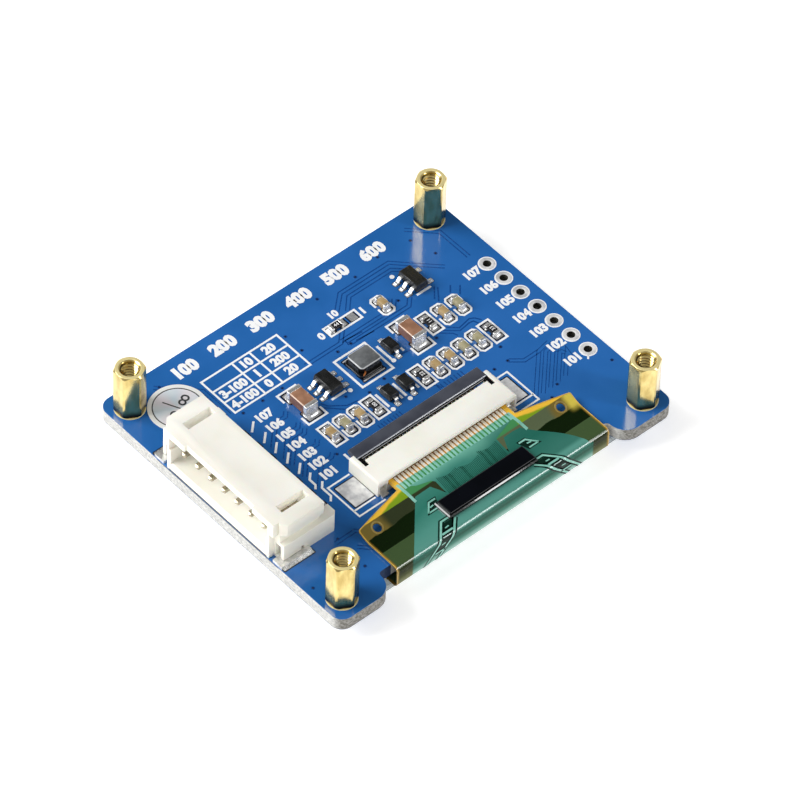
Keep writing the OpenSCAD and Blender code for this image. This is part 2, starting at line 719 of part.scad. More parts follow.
// The header's moulding: an open-fronted box with slots in its roof and an ear at each end
module header_housing() {
    cavity_d = header_block_d - header_back;
    cavity_top = header_h - header_roof;
    color("ivory")
    at_header()
    difference() {
        union() {
            block([0, -wall_half, 0], [header_block_d, wall_half, header_h]);
            // the roof runs on past the end walls, and each ear is joined to it by a web
            block([0, -lip_half, header_h - lip_h], [header_block_d, lip_half, header_h]);
            both_ends([ear_setback, wall_half - eps, 0], [header_block_d, web_half, header_h]);
            both_ends([ear_setback - 0.1, web_half - eps, header_h - strip_h],
                      [header_block_d, ear_half, header_h]);
            both_ends([ear_setback, wall_half - eps, 0], [header_d, ear_half, ear_h]);
        }
        // the cavity, with a taller groove at each end for the plug's ribs
        block([-eps, -cavity_half, header_floor], [cavity_d, cavity_half, cavity_top]);
        both_ends([-eps, cavity_half - eps, ear_h + 0.4],
                  [cavity_d, cavity_half + cavity_wall * 0.5, cavity_top]);
        // the roof's front edge, set back along its middle
        block([-eps, -roof_recess_l / 2, cavity_top - eps],
              [roof_recess, roof_recess_l / 2, header_h + eps]);
        // lead-in along the lip of the floor
        translate([0, 0, header_floor]) rotate([0, 45, 0])
            cube([0.25, 2 * cavity_half, 0.25], center = true);
        // slots through the roof
        both_ends([roof_slot_inset, cavity_half - roof_slot_w + 0.3, cavity_top - 1],
                  [roof_slot_inset + roof_slot_l, cavity_half + 0.3, header_h + eps]);
        // bore of each pin through the back wall
        for (i = [0:pin_count - 1])
            translate([0, (i - (pin_count - 1) / 2) * pin_pitch, pin_height])
                block([cavity_d - eps, -pin_w / 2 - 0.01, -pin_w / 2 - 0.01],
                      [header_block_d + eps, pin_w / 2 + 0.01, pin_w / 2 + 0.01]);
        // window in the front of each ear, and the step under it for the solder tab
        both_ends([ear_setback - eps, ear_half - 1.2, tab_t - eps],
                  [tab_l - 0.4, ear_half - 0.4, ear_h - 0.4]);
        both_ends([ear_setback - eps, ear_half - 0.9, -eps],
                  [tab_l + 0.05, ear_half + eps, tab_t + 0.06]);
        both_ends([tab_l - 0.9, ear_half - 0.5, -eps],
                  [tab_l - 0.55, ear_half + eps, tab_t + 0.5]);
        // chamfers at the front and rear outer corners
        for (s = [0, 1]) mirror([0, s, 0]) {
            translate([ear_setback - 0.1, ear_half, header_h]) rotate([0, 0, 45])
                cube([0.8, 0.8, 4.4], center = true);
            translate([header_d, ear_half, 0]) rotate([0, 0, 45]) cube([0.5, 0.5, 6], center = true);
        }
    }
}

// One square pin: its tip in the cavity, through the back wall, down and back on its foot
module header_pin(i) {
    bend = pin_w / 2 + 0.2;
    drop_u = header_block_d + leg_gap + pin_w / 2;
    foot_u = drop_u + bend + foot_l;
    color("silver")
    at_header() translate([0, (i - (pin_count + 1) / 2) * pin_pitch, 0])
    intersection() {
        along_y(pin_w)
            difference() {
                polygon(strip_outline(concat(
                    [[pin_setback, pin_height]],
                    arc([drop_u - bend, pin_height - bend], bend, 90, 0, 5),
                    arc([drop_u + bend, pin_w / 2 + bend], bend, 180, 270, 5),
                    [[foot_u, pin_w / 2]]), pin_w));
                for (s = [-1, 1])
                    translate([pin_setback, pin_height + s * pin_w / 2]) rotate(45)
                        square(0.24, center = true);
            }
        linear_extrude(header_h)
            difference() {
                translate([pin_setback - 1, -pin_w / 2]) square([foot_u + 2, pin_w]);
                for (s = [-1, 1])
                    translate([pin_setback, s * pin_w / 2]) rotate(45) square(0.24, center = true);
            }
    }
}

// A solder tab of the header: a foot beside the ear and a leg up inside its window
module header_tab(side) {
    color("silver")
    at_header() mirror([0, side < 0 ? 1 : 0, 0]) {
        block([0.02, ear_half - 0.86, 0], [tab_l, ear_half + tab_out, tab_t]);
        block([ear_setback + 0.3, ear_half - 0.86, tab_t - eps],
              [tab_l - 1.2, ear_half - 0.56, ear_h - 0.5]);
    }
}

// The inductor's ferrite core: a nearly square base flange, a post and a smaller top flange
module inductor_core() {
    color("dimgray")
    translate([inductor_at[0], inductor_at[1], top_z + 0.05]) {
        linear_extrude(coil_flange_t) cut_rect(coil_base_l, coil_base_w, 0.35);
        cylinder(d = coil_post_d, h = coil_h - 0.05);
        translate([0, 0, coil_h - 0.05 - coil_flange_t])
            bevel_block([coil_top_l, coil_top_w, coil_flange_t], 0.09, coil_corner);
    }
}

// The copper winding round the core's post, with the bulge of each turn
module inductor_winding() {
    room = coil_h - 0.05 - 2 * coil_flange_t;
    turn_r = room / coil_turns / 2;
    color("peru")
    translate([inductor_at[0], inductor_at[1], top_z + 0.05 + coil_flange_t])
        rotate_extrude()
            intersection() {
                translate([coil_post_d / 2, 0]) square([coil_winding_d, room]);
                union() {
                    translate([coil_post_d / 2, 0])
                        square([(coil_winding_d - coil_post_d) / 2 - turn_r, room]);
                    for (i = [0:coil_turns - 1])
                        translate([coil_winding_d / 2 - turn_r, turn_r * (2 * i + 1)])
                            circle(turn_r);
                }
            }
}

// Dark resin round the winding, open at one corner where the copper shows
module inductor_coating() {
    room = coil_h - 0.05 - 2 * coil_flange_t;
    color([0.1, 0.1, 0.1])
    translate([inductor_at[0], inductor_at[1], top_z + 0.05 + coil_flange_t])
        difference() {
            linear_extrude(room)
                difference() {
                    cut_rect(coil_top_l - 0.08, coil_top_w - 0.08, 0.3);
                    circle(d = coil_winding_d);
                }
            translate([-coil_top_l / 2, -coil_top_w / 2, room * 0.2]) rotate(45)
                cube([1.1, 0.7, 2 * room], center = true);
        }
}

// The two metal terminals under the ends of the inductor's base
module inductor_terminals() {
    color("silver")
    translate([inductor_at[0], inductor_at[1], top_z])
        both_ends([-coil_base_l / 2 + 0.3, coil_base_w / 2 - 0.8, 0],
                  [coil_base_l / 2 - 0.3, coil_base_w / 2, 0.05]);
}

// A hex standoff with turned corners, chamfered ends and a tapped through bore
module standoff(i) {
    p = fixing_places[i - 1];
    turned_r = standoff_corner_d / 2;
    mouth = (tapped_mouth_d - tapped_d) / 2;
    color("goldenrod")
    translate([p[0], p[1], top_z])
    difference() {
        intersection() {
            cylinder(d = standoff_af / cos(30), h = standoff_h, $fn = 6);
            rotate_extrude()
                polygon([
                    [0, 0], [turned_r - standoff_chamfer, 0], [turned_r, standoff_chamfer],
                    [turned_r, standoff_h - standoff_chamfer],
                    [turned_r - standoff_chamfer, standoff_h], [0, standoff_h]]);
        }
        translate([0, 0, -1]) cylinder(d = tapped_d, h = standoff_h + 2);
        // the lower stretch is drawn at the thread's roots, round the screw
        translate([0, 0, -1]) cylinder(d = thread_d, h = screw_reach + screw_tip_gap + 1);
        translate([0, 0, standoff_h - mouth + eps])
            cylinder(d1 = tapped_d, d2 = tapped_mouth_d, h = mouth);
    }
}

// The four pan-head screws that come up through the board into the standoffs
module screws() {
    shank_r = thread_d / 2 - thread_clearance;
    head_r = screw_head_d / 2;
    crown = pow(head_r, 2) / (2 * screw_head_h) + screw_head_h / 2;
    color("silver")
    for (p = fixing_places)
        translate([p[0], p[1], board_z])
        difference() {
            union() {
                rotate_extrude()
                    intersection() {
                        translate([0, -screw_head_h]) square([head_r - 0.15, screw_head_h]);
                        translate([0, crown - screw_head_h]) circle(crown);
                    }
                cylinder(r = shank_r, h = board_t + screw_reach - 0.3);
                translate([0, 0, board_t + screw_reach - 0.3 - eps])
                    cylinder(r1 = shank_r, r2 = shank_r - 0.25, h = 0.3 + eps);
            }
            for (a = [0, 90])
                rotate(a) translate([0, 0, -screw_head_h])
                    cube([recess_span, recess_w, 2 * recess_d], center = true);
        }
}

// A chip part along Y: a bevelled body with a metal cap on each end
module chip_part(at, size, end, turn = 0) {
    cap = [size[1], end, size[2]];
    translate([at[0], at[1], top_z]) rotate(turn) {
        translate([0, 0, chip_end_t])
            bevel_block([size[1] - 2 * chip_end_t, size[0] - 2 * chip_end_t,
                         size[2] - 2 * chip_end_t], chip_bevel);
        for (s = [-1, 1])
            translate([0, s * (size[0] - end) / 2, 0]) bevel_block(cap, chip_bevel);
    }
}

// One of the two large capacitors
module large_capacitor(i) {
    color("sienna") chip_part(large_capacitor_at[i - 1], large_capacitor_size, large_chip_end);
}

// One of the small capacitors
module capacitor(i) {
    color("tan") chip_part(capacitor_at[i - 1], capacitor_size, chip_end);
}

// One of the resistors
module resistor(i) {
    color([0.15, 0.15, 0.15])
        chip_part(resistor_at[i - 1], resistor_size, chip_end, resistor_turn[i - 1]);
}

// A moulded body with sides that slope away from its parting line, clear of the board
module moulded_body(size) {
    low = 0.08;
    mid = size[2] * 0.45;
    slope = 0.09;
    intersection() {
        along_x(size[0])
            polygon([
                [-size[1] / 2 + slope, low], [size[1] / 2 - slope, low], [size[1] / 2, mid],
                [size[1] / 2 - slope, size[2]], [-size[1] / 2 + slope, size[2]],
                [-size[1] / 2, mid]]);
        along_y(size[1])
            polygon([
                [-size[0] / 2 + slope, low], [size[0] / 2 - slope, low], [size[0] / 2, mid],
                [size[0] / 2 - slope, size[2]], [-size[0] / 2 + slope, size[2]],
                [-size[0] / 2, mid]]);
    }
}

// A gull-wing lead towards +X, from the body's side at u0 to the tip of its foot at u1
module gull_lead(u0, u1, height) {
    along_y(lead_w)
        polygon(strip_outline([
            [u0 - 0.2, height], [u0 + 0.12, height], [u0 + 0.2, height - 0.06],
            [u0 + 0.28, lead_t / 2 + 0.06], [u0 + 0.34, lead_t / 2], [u1, lead_t / 2]], lead_t));
}

// A small IC: a moulded body with leads at the given places along each side
module small_ic(at, left_leads, right_leads) {
    translate([at[0], at[1], top_z]) {
        moulded_body(ic_size);
        for (y = left_leads)
            translate([0, y * ic_pitch, 0]) mirror([1, 0, 0])
                gull_lead(ic_size[0] / 2, ic_span / 2 + 0.15, ic_size[2] * 0.45);
        for (y = right_leads)
            translate([0, y * ic_pitch, 0])
                gull_lead(ic_size[0] / 2, ic_span / 2 + 0.15, ic_size[2] * 0.45);
    }
}

// The voltage regulator, with three leads facing the header and two behind
module regulator() {
    color([0.12, 0.12, 0.12]) small_ic(regulator_at, [-1, 0, 1], [-1, 1]);
}

// The boost converter, with three leads on each side
module converter() {
    color([0.12, 0.12, 0.12]) small_ic(converter_at, [-1, 0, 1], [-1, 0, 1]);
}

// A small moulded diode with one lead at each end
module diode(i) {
    at = diode_at[i - 1];
    color([0.1, 0.1, 0.1])
    translate([at[0], at[1], top_z]) {
        moulded_body(diode_size);
        for (a = [90, 270])
            rotate(a) gull_lead(diode_size[1] / 2, diode_span / 2 + 0.1, diode_size[2] * 0.4);
    }
}

// The round paper inspection sticker beside the header
module inspection_sticker() {
    color("white")
    translate([sticker_x, sticker_y, top_z]) cylinder(d = sticker_d, h = sticker_t);
}

circuit_board();
plated_holes();
front_glass();
cover_glass();
polariser();
mounting_tape();
film_cable();
film_stiffener();
driver_chip();
film_socket_housing();
film_socket_latch();
film_socket_contacts();
film_socket_nail(-1);  // film_socket_nail_left
film_socket_nail(1);  // film_socket_nail_right
header_housing();
header_tab(-1);  // header_tab_left
header_tab(1);  // header_tab_right
inductor_core();
inductor_winding();
inductor_coating();
inductor_terminals();
screws();
regulator();
converter();
inspection_sticker();
for (i = [1:pin_count]) header_pin(i);
for (i = [1:4]) standoff(i);
for (i = [1:DIODES]) diode(i);
for (i = [1:2]) large_capacitor(i);
for (i = [1:CAPACITORS]) capacitor(i);
for (i = [1:RESISTORS]) resistor(i);
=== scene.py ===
# Looks of a small display module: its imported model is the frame, and finer pieces go round it
import json
import math

import bmesh
import bpy
from mathutils import Matrix, Vector


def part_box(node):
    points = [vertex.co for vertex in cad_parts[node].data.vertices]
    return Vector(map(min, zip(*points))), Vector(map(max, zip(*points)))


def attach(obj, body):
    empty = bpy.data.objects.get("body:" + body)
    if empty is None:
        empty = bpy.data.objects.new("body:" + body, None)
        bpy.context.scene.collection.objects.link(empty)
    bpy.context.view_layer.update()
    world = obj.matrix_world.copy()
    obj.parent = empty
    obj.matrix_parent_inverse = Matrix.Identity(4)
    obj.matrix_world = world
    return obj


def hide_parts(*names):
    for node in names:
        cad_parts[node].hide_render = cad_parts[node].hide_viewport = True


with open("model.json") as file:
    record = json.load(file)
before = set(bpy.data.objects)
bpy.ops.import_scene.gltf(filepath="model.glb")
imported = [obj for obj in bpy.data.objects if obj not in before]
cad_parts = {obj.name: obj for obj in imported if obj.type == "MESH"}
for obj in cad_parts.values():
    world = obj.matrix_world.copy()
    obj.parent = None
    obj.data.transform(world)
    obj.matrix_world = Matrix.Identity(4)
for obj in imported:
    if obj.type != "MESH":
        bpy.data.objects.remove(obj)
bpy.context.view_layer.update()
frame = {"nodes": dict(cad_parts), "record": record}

MM = 0.001
QUARTER_TURN = math.pi / 2
scene = bpy.context.scene
nodes = frame["nodes"]
scene.view_settings.view_transform = "Standard"


def box_mm(name):
    """A CAD node's lowest corner, highest corner and middle, in millimetres."""
    low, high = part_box(name)
    return low / MM, high / MM, (low / MM + high / MM) / 2


BOARD_LOW, BOARD_HIGH, _ = box_mm("circuit_board")
TOP = BOARD_HIGH.z
STANDOFF_TOP = box_mm("standoff_1")[1].z
STICKER_TOP = box_mm("inspection_sticker")[1].z
STICKER = box_mm("inspection_sticker")[2]

# Camera

CAMERA_ANGLE = math.radians(6.8706)
CAMERA_SPOT = Vector((-0.299846, -0.321753, 0.504132))
CAMERA_RIGHT = Vector((0.74943099, -0.66155845, 0.0263366))
CAMERA_UP = Vector((0.48412827, 0.57470008, 0.65980273))
CAMERA_FORWARD = Vector((0.45163371, 0.48172631, -0.75097719))
camera_data = bpy.data.cameras.new("camera")
camera_data.angle = CAMERA_ANGLE
camera_data.clip_start = 0.01
camera = bpy.data.objects.new("camera", camera_data)
scene.collection.objects.link(camera)
scene.camera = camera
place = Matrix((CAMERA_RIGHT, CAMERA_UP, -CAMERA_FORWARD)).transposed().to_4x4()
place.translation = CAMERA_SPOT
camera.matrix_world = place


# Helpers for materials

def rgb(r, g, b):
    """A colour written as 0 to 255 on screen, as the linear colour that shaders take."""
    def linear(c):
        c /= 255
        return c / 12.92 if c <= 0.04045 else ((c + 0.055) / 1.055) ** 2.4
    return (linear(r), linear(g), linear(b), 1.0)


def feed(tree, node, inputs):
    """Sets inputs of a node, each to a value or to another node's output."""
    for key, value in inputs.items():
        if isinstance(value, bpy.types.NodeSocket):
            tree.links.new(value, node.inputs[key])
        else:
            node.inputs[key].default_value = value


def add(tree, kind, inputs=None, **settings):
    """A node with its settings and inputs."""
    made = tree.nodes.new(kind)
    for key, value in settings.items():
        setattr(made, key, value)
    feed(tree, made, inputs or {})
    return made


def remap(tree, value, near, far, start=0.0, end=1.0, way="LINEAR"):
    """Start where value is near or before it, end where value is far or past it."""
    return add(tree, "ShaderNodeMapRange",
               {"Value": value, "From Min": near, "From Max": far, "To Min": start, "To Max": end},
               interpolation_type=way).outputs["Result"]


def coordinates(tree):
    """Object coordinates in millimetres."""
    source = add(tree, "ShaderNodeTexCoord").outputs["Object"]
    return add(tree, "ShaderNodeVectorMath", {0: source, "Scale": 1 / MM},
               operation="SCALE").outputs[0]


def make_mottle_group():
    """Two sizes of noise, as a tone from 0 to 1, a fine tone and a normal, for every finish."""
    group = bpy.data.node_groups.new("mottle", "ShaderNodeTree")
    face = group.interface
    for name, kind, value in (("Size", "NodeSocketFloat", 1.0), ("Grain", "NodeSocketFloat", 10.0),
                              ("Stretch", "NodeSocketVector", (1.0, 1.0, 1.0)),
                              ("Bump", "NodeSocketFloat", 0.1)):
        made = face.new_socket(name, in_out="INPUT", socket_type=kind)
        made.default_value = value
    for name, kind in (("Tone", "NodeSocketFloat"), ("Fine", "NodeSocketFloat"),
                       ("Normal", "NodeSocketVector")):
        face.new_socket(name, in_out="OUTPUT", socket_type=kind)
    entry, leave = add(group, "NodeGroupInput").outputs, add(group, "NodeGroupOutput")
    where = add(group, "ShaderNodeVectorMath", {0: coordinates(group), 1: entry["Stretch"]},
                operation="MULTIPLY").outputs[0]
    broad, fine = (add(group, "ShaderNodeTexNoise",
                       {"Vector": where, "Scale": entry[size], "Detail": detail}).outputs["Fac"]
                   for size, detail in (("Size", 3.0), ("Grain", 2.0)))
    bump = add(group, "ShaderNodeBump",
               {"Strength": entry["Bump"], "Distance": 0.05 * MM, "Height": fine})
    feed(group, leave, {"Tone": remap(group, broad, 0.3, 0.7, way="SMOOTHSTEP"),
                        "Fine": remap(group, fine, 0.3, 0.7, way="SMOOTHSTEP"),
                        "Normal": bump.outputs["Normal"]})
    return group


MOTTLE = make_mottle_group()
FINISHES = {}


class Finish:
    """A material in the making, with the mottle group and the steps that finishes repeat."""

    def __init__(self, name, size=0.5, grain=12.0, bump=0.1, stretch=(1, 1, 1), **sockets):
        FINISHES[name] = bpy.data.materials.new(name)
        FINISHES[name].use_nodes = True
        self.tree = FINISHES[name].node_tree
        noise = add(self.tree, "ShaderNodeGroup", node_tree=MOTTLE)
        feed(self.tree, noise, {"Size": size, "Grain": grain, "Bump": bump, "Stretch": stretch})
        self.tone, self.fine = noise.outputs["Tone"], noise.outputs["Fine"]
        self.shade(Normal=noise.outputs["Normal"], **sockets)

    def shade(self, **sockets):
        """Sets sockets of the shader, each to a value or to a node's output."""
        feed(self.tree, self.tree.nodes["Principled BSDF"],
             {key.replace("_", " "): value for key, value in sockets.items()})

    def place(self):
        """Object coordinates in millimetres: x, y, z, and all three as a vector."""
        where = coordinates(self.tree)
        return (*add(self.tree, "ShaderNodeSeparateXYZ", {0: where}).outputs, where)

    def calc(self, operation, *numbers):
        return add(self.tree, "ShaderNodeMath", dict(enumerate(numbers)),
                   operation=operation).outputs[0]

    def plus(self, a, b):
        return self.calc("ADD", a, b)

    def minus(self, a, b):
        return self.calc("SUBTRACT", a, b)

    def times(self, product, *others):
        for each in others:
            product = self.calc("MULTIPLY", product, each)
        return product

    def away(self, value, middle):
        """How far a value is from a middle one, to either side."""
        return self.calc("ABSOLUTE", self.minus(value, middle))

    def band(self, value, near, far):
        """0 where value is near or before it, 1 where it is far or past it, smooth between."""
        return remap(self.tree, value, near, far, way="SMOOTHSTEP")

    def between(self, value, start, end):
        """A number that goes from start to end as value goes from 0 to 1."""
        return remap(self.tree, value, 0.0, 1.0, start, end)

    def blend(self, factor, a, b):
        """Colour a where factor is 0 and b where it is 1, each 0 to 255 or a node's output."""
        a, b = (rgb(*each) if isinstance(each, tuple) else each for each in (a, b))
        return add(self.tree, "ShaderNodeMix", {0: factor, 6: a, 7: b},
                   data_type="RGBA").outputs[2]

    def mottle(self, dark, light):
        return self.blend(self.tone, dark, light)

    def along(self, value, stops):
        """Colours laid out along a value: the first stop is at 0 and the last at 1."""
        made = add(self.tree, "ShaderNodeValToRGB", {"Fac": value})
        ramp = made.color_ramp.elements
        ramp[0].color, ramp[1].color = rgb(*stops[0][1]), rgb(*stops[-1][1])
        for at, colour in stops[1:-1]:
            ramp.new(at).color = rgb(*colour)
        return made.outputs["Color"]


def mottled(name, dark, light, rough, *noise, **sockets):
    """A finish whose colour and gloss drift between two values."""
    f = Finish(name, *noise, **sockets)
    f.shade(Base_Color=f.mottle(dark, light), Roughness=f.between(f.fine, *rough))


# The board

def solder_mask_finish():
    """Glossy blue mask on both faces, pale layered fibre on the cut edges."""
    f = Finish("solder_mask", size=0.12, grain=3.0, bump=0.05, Coat_Roughness=0.03)
    x, y, z, where = f.place()
    middle = (BOARD_LOW.z + TOP) / 2
    blue = f.mottle((34, 99, 170), (44, 109, 184))
    blue = f.blend(f.band(z, middle - 0.1, middle + 0.1), (18, 66, 122), blue)
    face = f.band(f.away(z, middle), TOP - middle - 0.05, TOP - middle - 0.035)
    weave = add(f.tree, "ShaderNodeMapping", {"Vector": where, "Scale": (4.2, 4.2, 8.0)})
    weave = add(f.tree, "ShaderNodeTexNoise",
                {"Vector": weave.outputs[0], "Scale": 1.0, "Detail": 4.0})
    weave = f.band(weave.outputs["Fac"], 0.38, 0.62)
    fibre = f.blend(weave, (176, 176, 173), (212, 211, 207))
    # The front cut edges are painted darker: painted shade.
    shaded_fibre = f.blend(weave, (92, 89, 82), (156, 154, 149))
    fibre = f.blend(f.band(y, -17.2, -18.2), fibre, shaded_fibre)
    # The notch's ends, under the film's fold, are painted dark blue: painted shade.
    notch_shade = f.times(f.band(x, -13.4, -13.6), f.band(x, -15.6, -15.4), f.band(y, -15.7, -15.95))
    fibre = f.blend(notch_shade, fibre, (20, 48, 88))
    # Painted shadow of the header along the top of the board's cut edge.
    header_shadow = f.times(f.band(z, TOP - 0.2, TOP - 0.13),
                           f.band(f.calc("ABSOLUTE", y), 9.3, 9.1), f.band(x, -21.9, -22.1))
    fibre = f.blend(header_shadow, fibre, (70, 74, 80))
    f.shade(Base_Color=f.blend(face, fibre, blue), Roughness=f.between(face, 0.7, 0.16),
            Coat_Weight=f.times(face, 0.25))


solder_mask_finish()

# The film: its measures and its finishes

FILM_LOW, FILM_HIGH, FILM_MIDDLE = box_mm("film_cable")
FILM_X = FILM_MIDDLE.x
FILM_TOP = FILM_HIGH.z
FILM_REST = TOP + 0.36
TONGUE_HALF = 7.8
SLOPE_START, SLOPE_END = -10.0, -13.15
FOLD_R = 0.56
FOLD_START = FILM_LOW.y + FOLD_R
FOLD_LENGTH = 0.5 * QUARTER_TURN
FOLD_DROP = FILM_REST - FILM_LOW.z - 2 * FOLD_R
# The fold's front colours; the pale low stops are a painted reflection of the floor.
FOLD_STOPS = (0.0, 0.22, 0.5, 0.75, 1.0)
FOLD_GREEN = ((214, 232, 226), (158, 198, 186), (62, 124, 106), (16, 78, 60), (34, 100, 84))
FOLD_OLIVE = ((206, 206, 186), (124, 128, 88), (66, 72, 26), (36, 44, 4), (30, 40, 2))


def film_finish():
    """Amber film whose tint changes where the stiffener and the board lie behind it, with a painted
    highlight at a wing's corner and painted shade down the fold's front.
    """
    f = Finish("film", size=0.35, grain=2.0, bump=0.06, Coat_Weight=0.4, Coat_Roughness=0.03,
               Roughness=0.15)
    x, y = f.place()[:2]
    across = f.away(x, FILM_X)
    wobble = f.times(f.minus(f.tone, 0.5), 0.25)
    slope = f.calc("MULTIPLY_ADD", f.minus(across, TONGUE_HALF), -0.2055, SLOPE_START)
    inside = f.minus(f.plus(slope, wobble), y)
    tongue = f.blend(f.band(inside, 0.35, 0.6), (252, 200, 66), (132, 166, 34))
    gap = f.blend(f.band(y, -9.3, -8.8), (206, 146, 56), (132, 86, 24))
    gap = f.blend(f.band(y, -9.6, -9.45), (72, 146, 88), gap)
    tongue = f.blend(f.band(across, 7.15, 7.3), gap, tongue)
    wing = f.blend(f.band(x, 0.0, 1.0), (52, 60, 36), (94, 106, 76))
    wing = f.blend(f.band(f.plus(across, wobble), 10.6, 11.6), wing, (122, 106, 50))
    wing = f.blend(f.band(f.plus(y, wobble), -12.62, -12.5), (8, 27, 0), wing)
    wing = f.blend(f.band(y, -14.68, -14.62), (66, 88, 52), wing)
    wing = f.blend(f.band(across, 13.75, 14.0), wing, (150, 118, 44))
    # A pale yellow patch at the right wing's top corner: painted highlight.
    corner_highlight = f.times(f.band(f.plus(x, wobble), FILM_X + 12.7, FILM_X + 13.5),
                     f.band(y, -13.4, -12.2))
    wing = f.blend(corner_highlight, wing, (226, 206, 84))
    # Painted shade: darker where the film turns down the fold's front.
    wing = f.blend(f.band(y, -17.155, -17.05), (20, 22, 2), wing)
    f.shade(Base_Color=f.blend(f.band(y, -11.24, -11.18), wing, tongue))


def fold_colours_with_reflection(f, z, colours):
    """Colours of the fold's front, from its lowest line up to the bend, lighter towards the bottom
    as a painted reflection of the floor.
    """
    return f.along(remap(f.tree, z, 0.9, 3.4), list(zip(FOLD_STOPS, colours)))


def film_front_finish():
    """The fold's front where the print stops: olive at its ends, green under the print, both
    painted lighter towards the bottom as a reflection of the floor.
    """
    f = Finish("film_front", size=0.25, grain=2.5, bump=0.05, Coat_Weight=0.05,
               Specular_IOR_Level=0.1, Roughness=0.25)
    x, _, z, _ = f.place()
    middle = f.times(f.band(x, -11.75, -11.5), f.band(x, 12.5, 12.2))
    colour = f.blend(middle, fold_colours_with_reflection(f, z, FOLD_OLIVE), fold_colours_with_reflection(f, z, FOLD_GREEN))
    f.shade(Base_Color=f.blend(f.band(f.away(x, FILM_X), 13.7, 14.0), colour, (132, 108, 42)))


def film_print_finish(name, gloss):
    """Green resist over the film's copper, lighter by the fingers and darker round the fold, and
    painted lighter towards the bottom of the fold's front as a reflection of the floor.
    """
    f = Finish(name, size=0.25, grain=2.5, bump=0.05, Coat_Weight=gloss, Coat_Roughness=0.03,
               Specular_IOR_Level=gloss, Roughness=0.18)
    x, y, z, _ = f.place()
    drift = remap(f.tree, f.calc("MULTIPLY_ADD", f.tone, 0.5, y), -17.2, -10.2)
    tint = f.along(drift, [(0.0, (60, 128, 112)), (0.08, (92, 156, 142)), (0.3, (82, 150, 136)),
                           (0.62, (50, 124, 108)), (0.86, (66, 142, 126)), (1.0, (110, 180, 160))])
    right = f.times(f.band(x, 0.0, 8.0), f.band(y, -16.5, -15.9), 0.6)
    tint = f.blend(right, tint, (22, 92, 78))
    # Down the fold's front: painted reflection of the floor, lighter towards the bottom.
    front = f.band(y, -17.165, -17.06)
    f.shade(Base_Color=f.blend(front, fold_colours_with_reflection(f, z, FOLD_GREEN), tint))


film_finish()
film_front_finish()
film_print_finish("film_print", 0.5)
film_print_finish("film_print_front", 0.1)


# Finishes of the parts on the board

def painted_light_top_finish(name, node, side, top, rim, highlight_depths, shade_depths, **noise):
    """A fired part with its top painted lighter than its sides as lit and shaded, and a painted
    highlight round the top's edge; bands are depths from the top.
    """
    f = Finish(name, Roughness=0.3, **noise)
    z, height = f.place()[2], box_mm(node)[1].z
    highlight_near, highlight_far, shade_near, shade_far = (height - depth for depth in (*highlight_depths, *shade_depths))
    top = f.blend(f.band(z, highlight_near, highlight_far), rim, f.mottle(*top))
    f.shade(Base_Color=f.blend(f.band(z, shade_near, shade_far), f.mottle(*side), top))


def brass_finish():
    """Drawn brass: polished sides painted dark towards the foot as shade, and a brighter satin end
    where the bar was faced.
    """
    f = Finish("brass", size=1.1, grain=9.0, bump=0.08, stretch=(1, 1, 0.4))
    z = f.place()[2]
    end = f.plus(f.band(z, STANDOFF_TOP - 0.04, STANDOFF_TOP - 0.02),
                 f.band(z, TOP + 0.12, TOP + 0.1))
    side = f.mottle((198, 172, 104), (236, 216, 148))
    # Painted shade: the sides darken towards the foot.
    side = f.blend(f.band(z, TOP + 0.35, TOP + 1.1), (66, 52, 28), side)
    f.shade(Base_Color=f.blend(end, side, (248, 230, 164)), Metallic=f.between(end, 1.0, 0.3),
            Roughness=f.between(end, 0.17, 0.35))


def contact_finish():
    """Gold-plated contacts, painted dark as shade where they rise into the socket."""
    f = Finish("gold_plate", size=2.0, grain=14.0, Metallic=1.0, Roughness=0.3)
    gold = f.mottle((222, 184, 110), (246, 220, 160))
    # Painted shade: gold low down, dark higher up in the socket.
    f.shade(Base_Color=f.blend(f.band(f.place()[2], TOP + 0.3, TOP + 0.6), gold, (34, 30, 24)))


def latch_finish():
    """Grey moulding with a glossy front edge carrying a painted highlight, over its face in the
    socket painted dark as shade.
    """
    f = Finish("grey_plastic", size=0.4)
    y = f.place()[1]
    grey = f.mottle((60, 63, 73), (76, 79, 89))
    # A pale line along the front edge: painted highlight.
    grey = f.blend(f.band(y, -4.775, -4.76), (176, 180, 190), grey)
    # The face ahead of the edge, in the gap to the housing, is painted near-black: painted shade.
    f.shade(Base_Color=f.blend(f.band(y, -4.88, -4.83), (9, 10, 13), grey),
            Roughness=f.between(f.band(y, -4.76, -4.72), 0.12, 0.3))


def sticker_finish():
    """Silvery paper whose pale tints drift round its middle, with a plain rim."""
    f = Finish("sticker_paper", size=0.4, grain=6.0, bump=0.05)
    x, y, _, where = f.place()
    centred = add(f.tree, "ShaderNodeMapping",
                  {"Vector": where, "Location": (-STICKER.x, -STICKER.y, 0)})
    turn = add(f.tree, "ShaderNodeTexGradient", {"Vector": centred.outputs[0]},
               gradient_type="RADIAL").outputs["Fac"]
    wave = f.calc("MULTIPLY_ADD", f.calc("SINE", f.times(turn, 25.13)), 0.5, 0.5)
    paper = f.blend(wave, (222, 236, 246), (242, 236, 244))
    paper = f.blend(f.times(f.tone, 0.5), paper, (250, 251, 248))
    flat = add(f.tree, "ShaderNodeCombineXYZ", {0: x, 1: y}).outputs[0]
    spread = add(f.tree, "ShaderNodeVectorMath", {0: flat, 1: (STICKER.x, STICKER.y, 0)},
                 operation="DISTANCE").outputs["Value"]
    rim = f.band(spread, 2.55, 2.6)
    f.shade(Base_Color=f.blend(rim, paper, (246, 247, 244)), Roughness=f.between(rim, 0.25, 0.5))


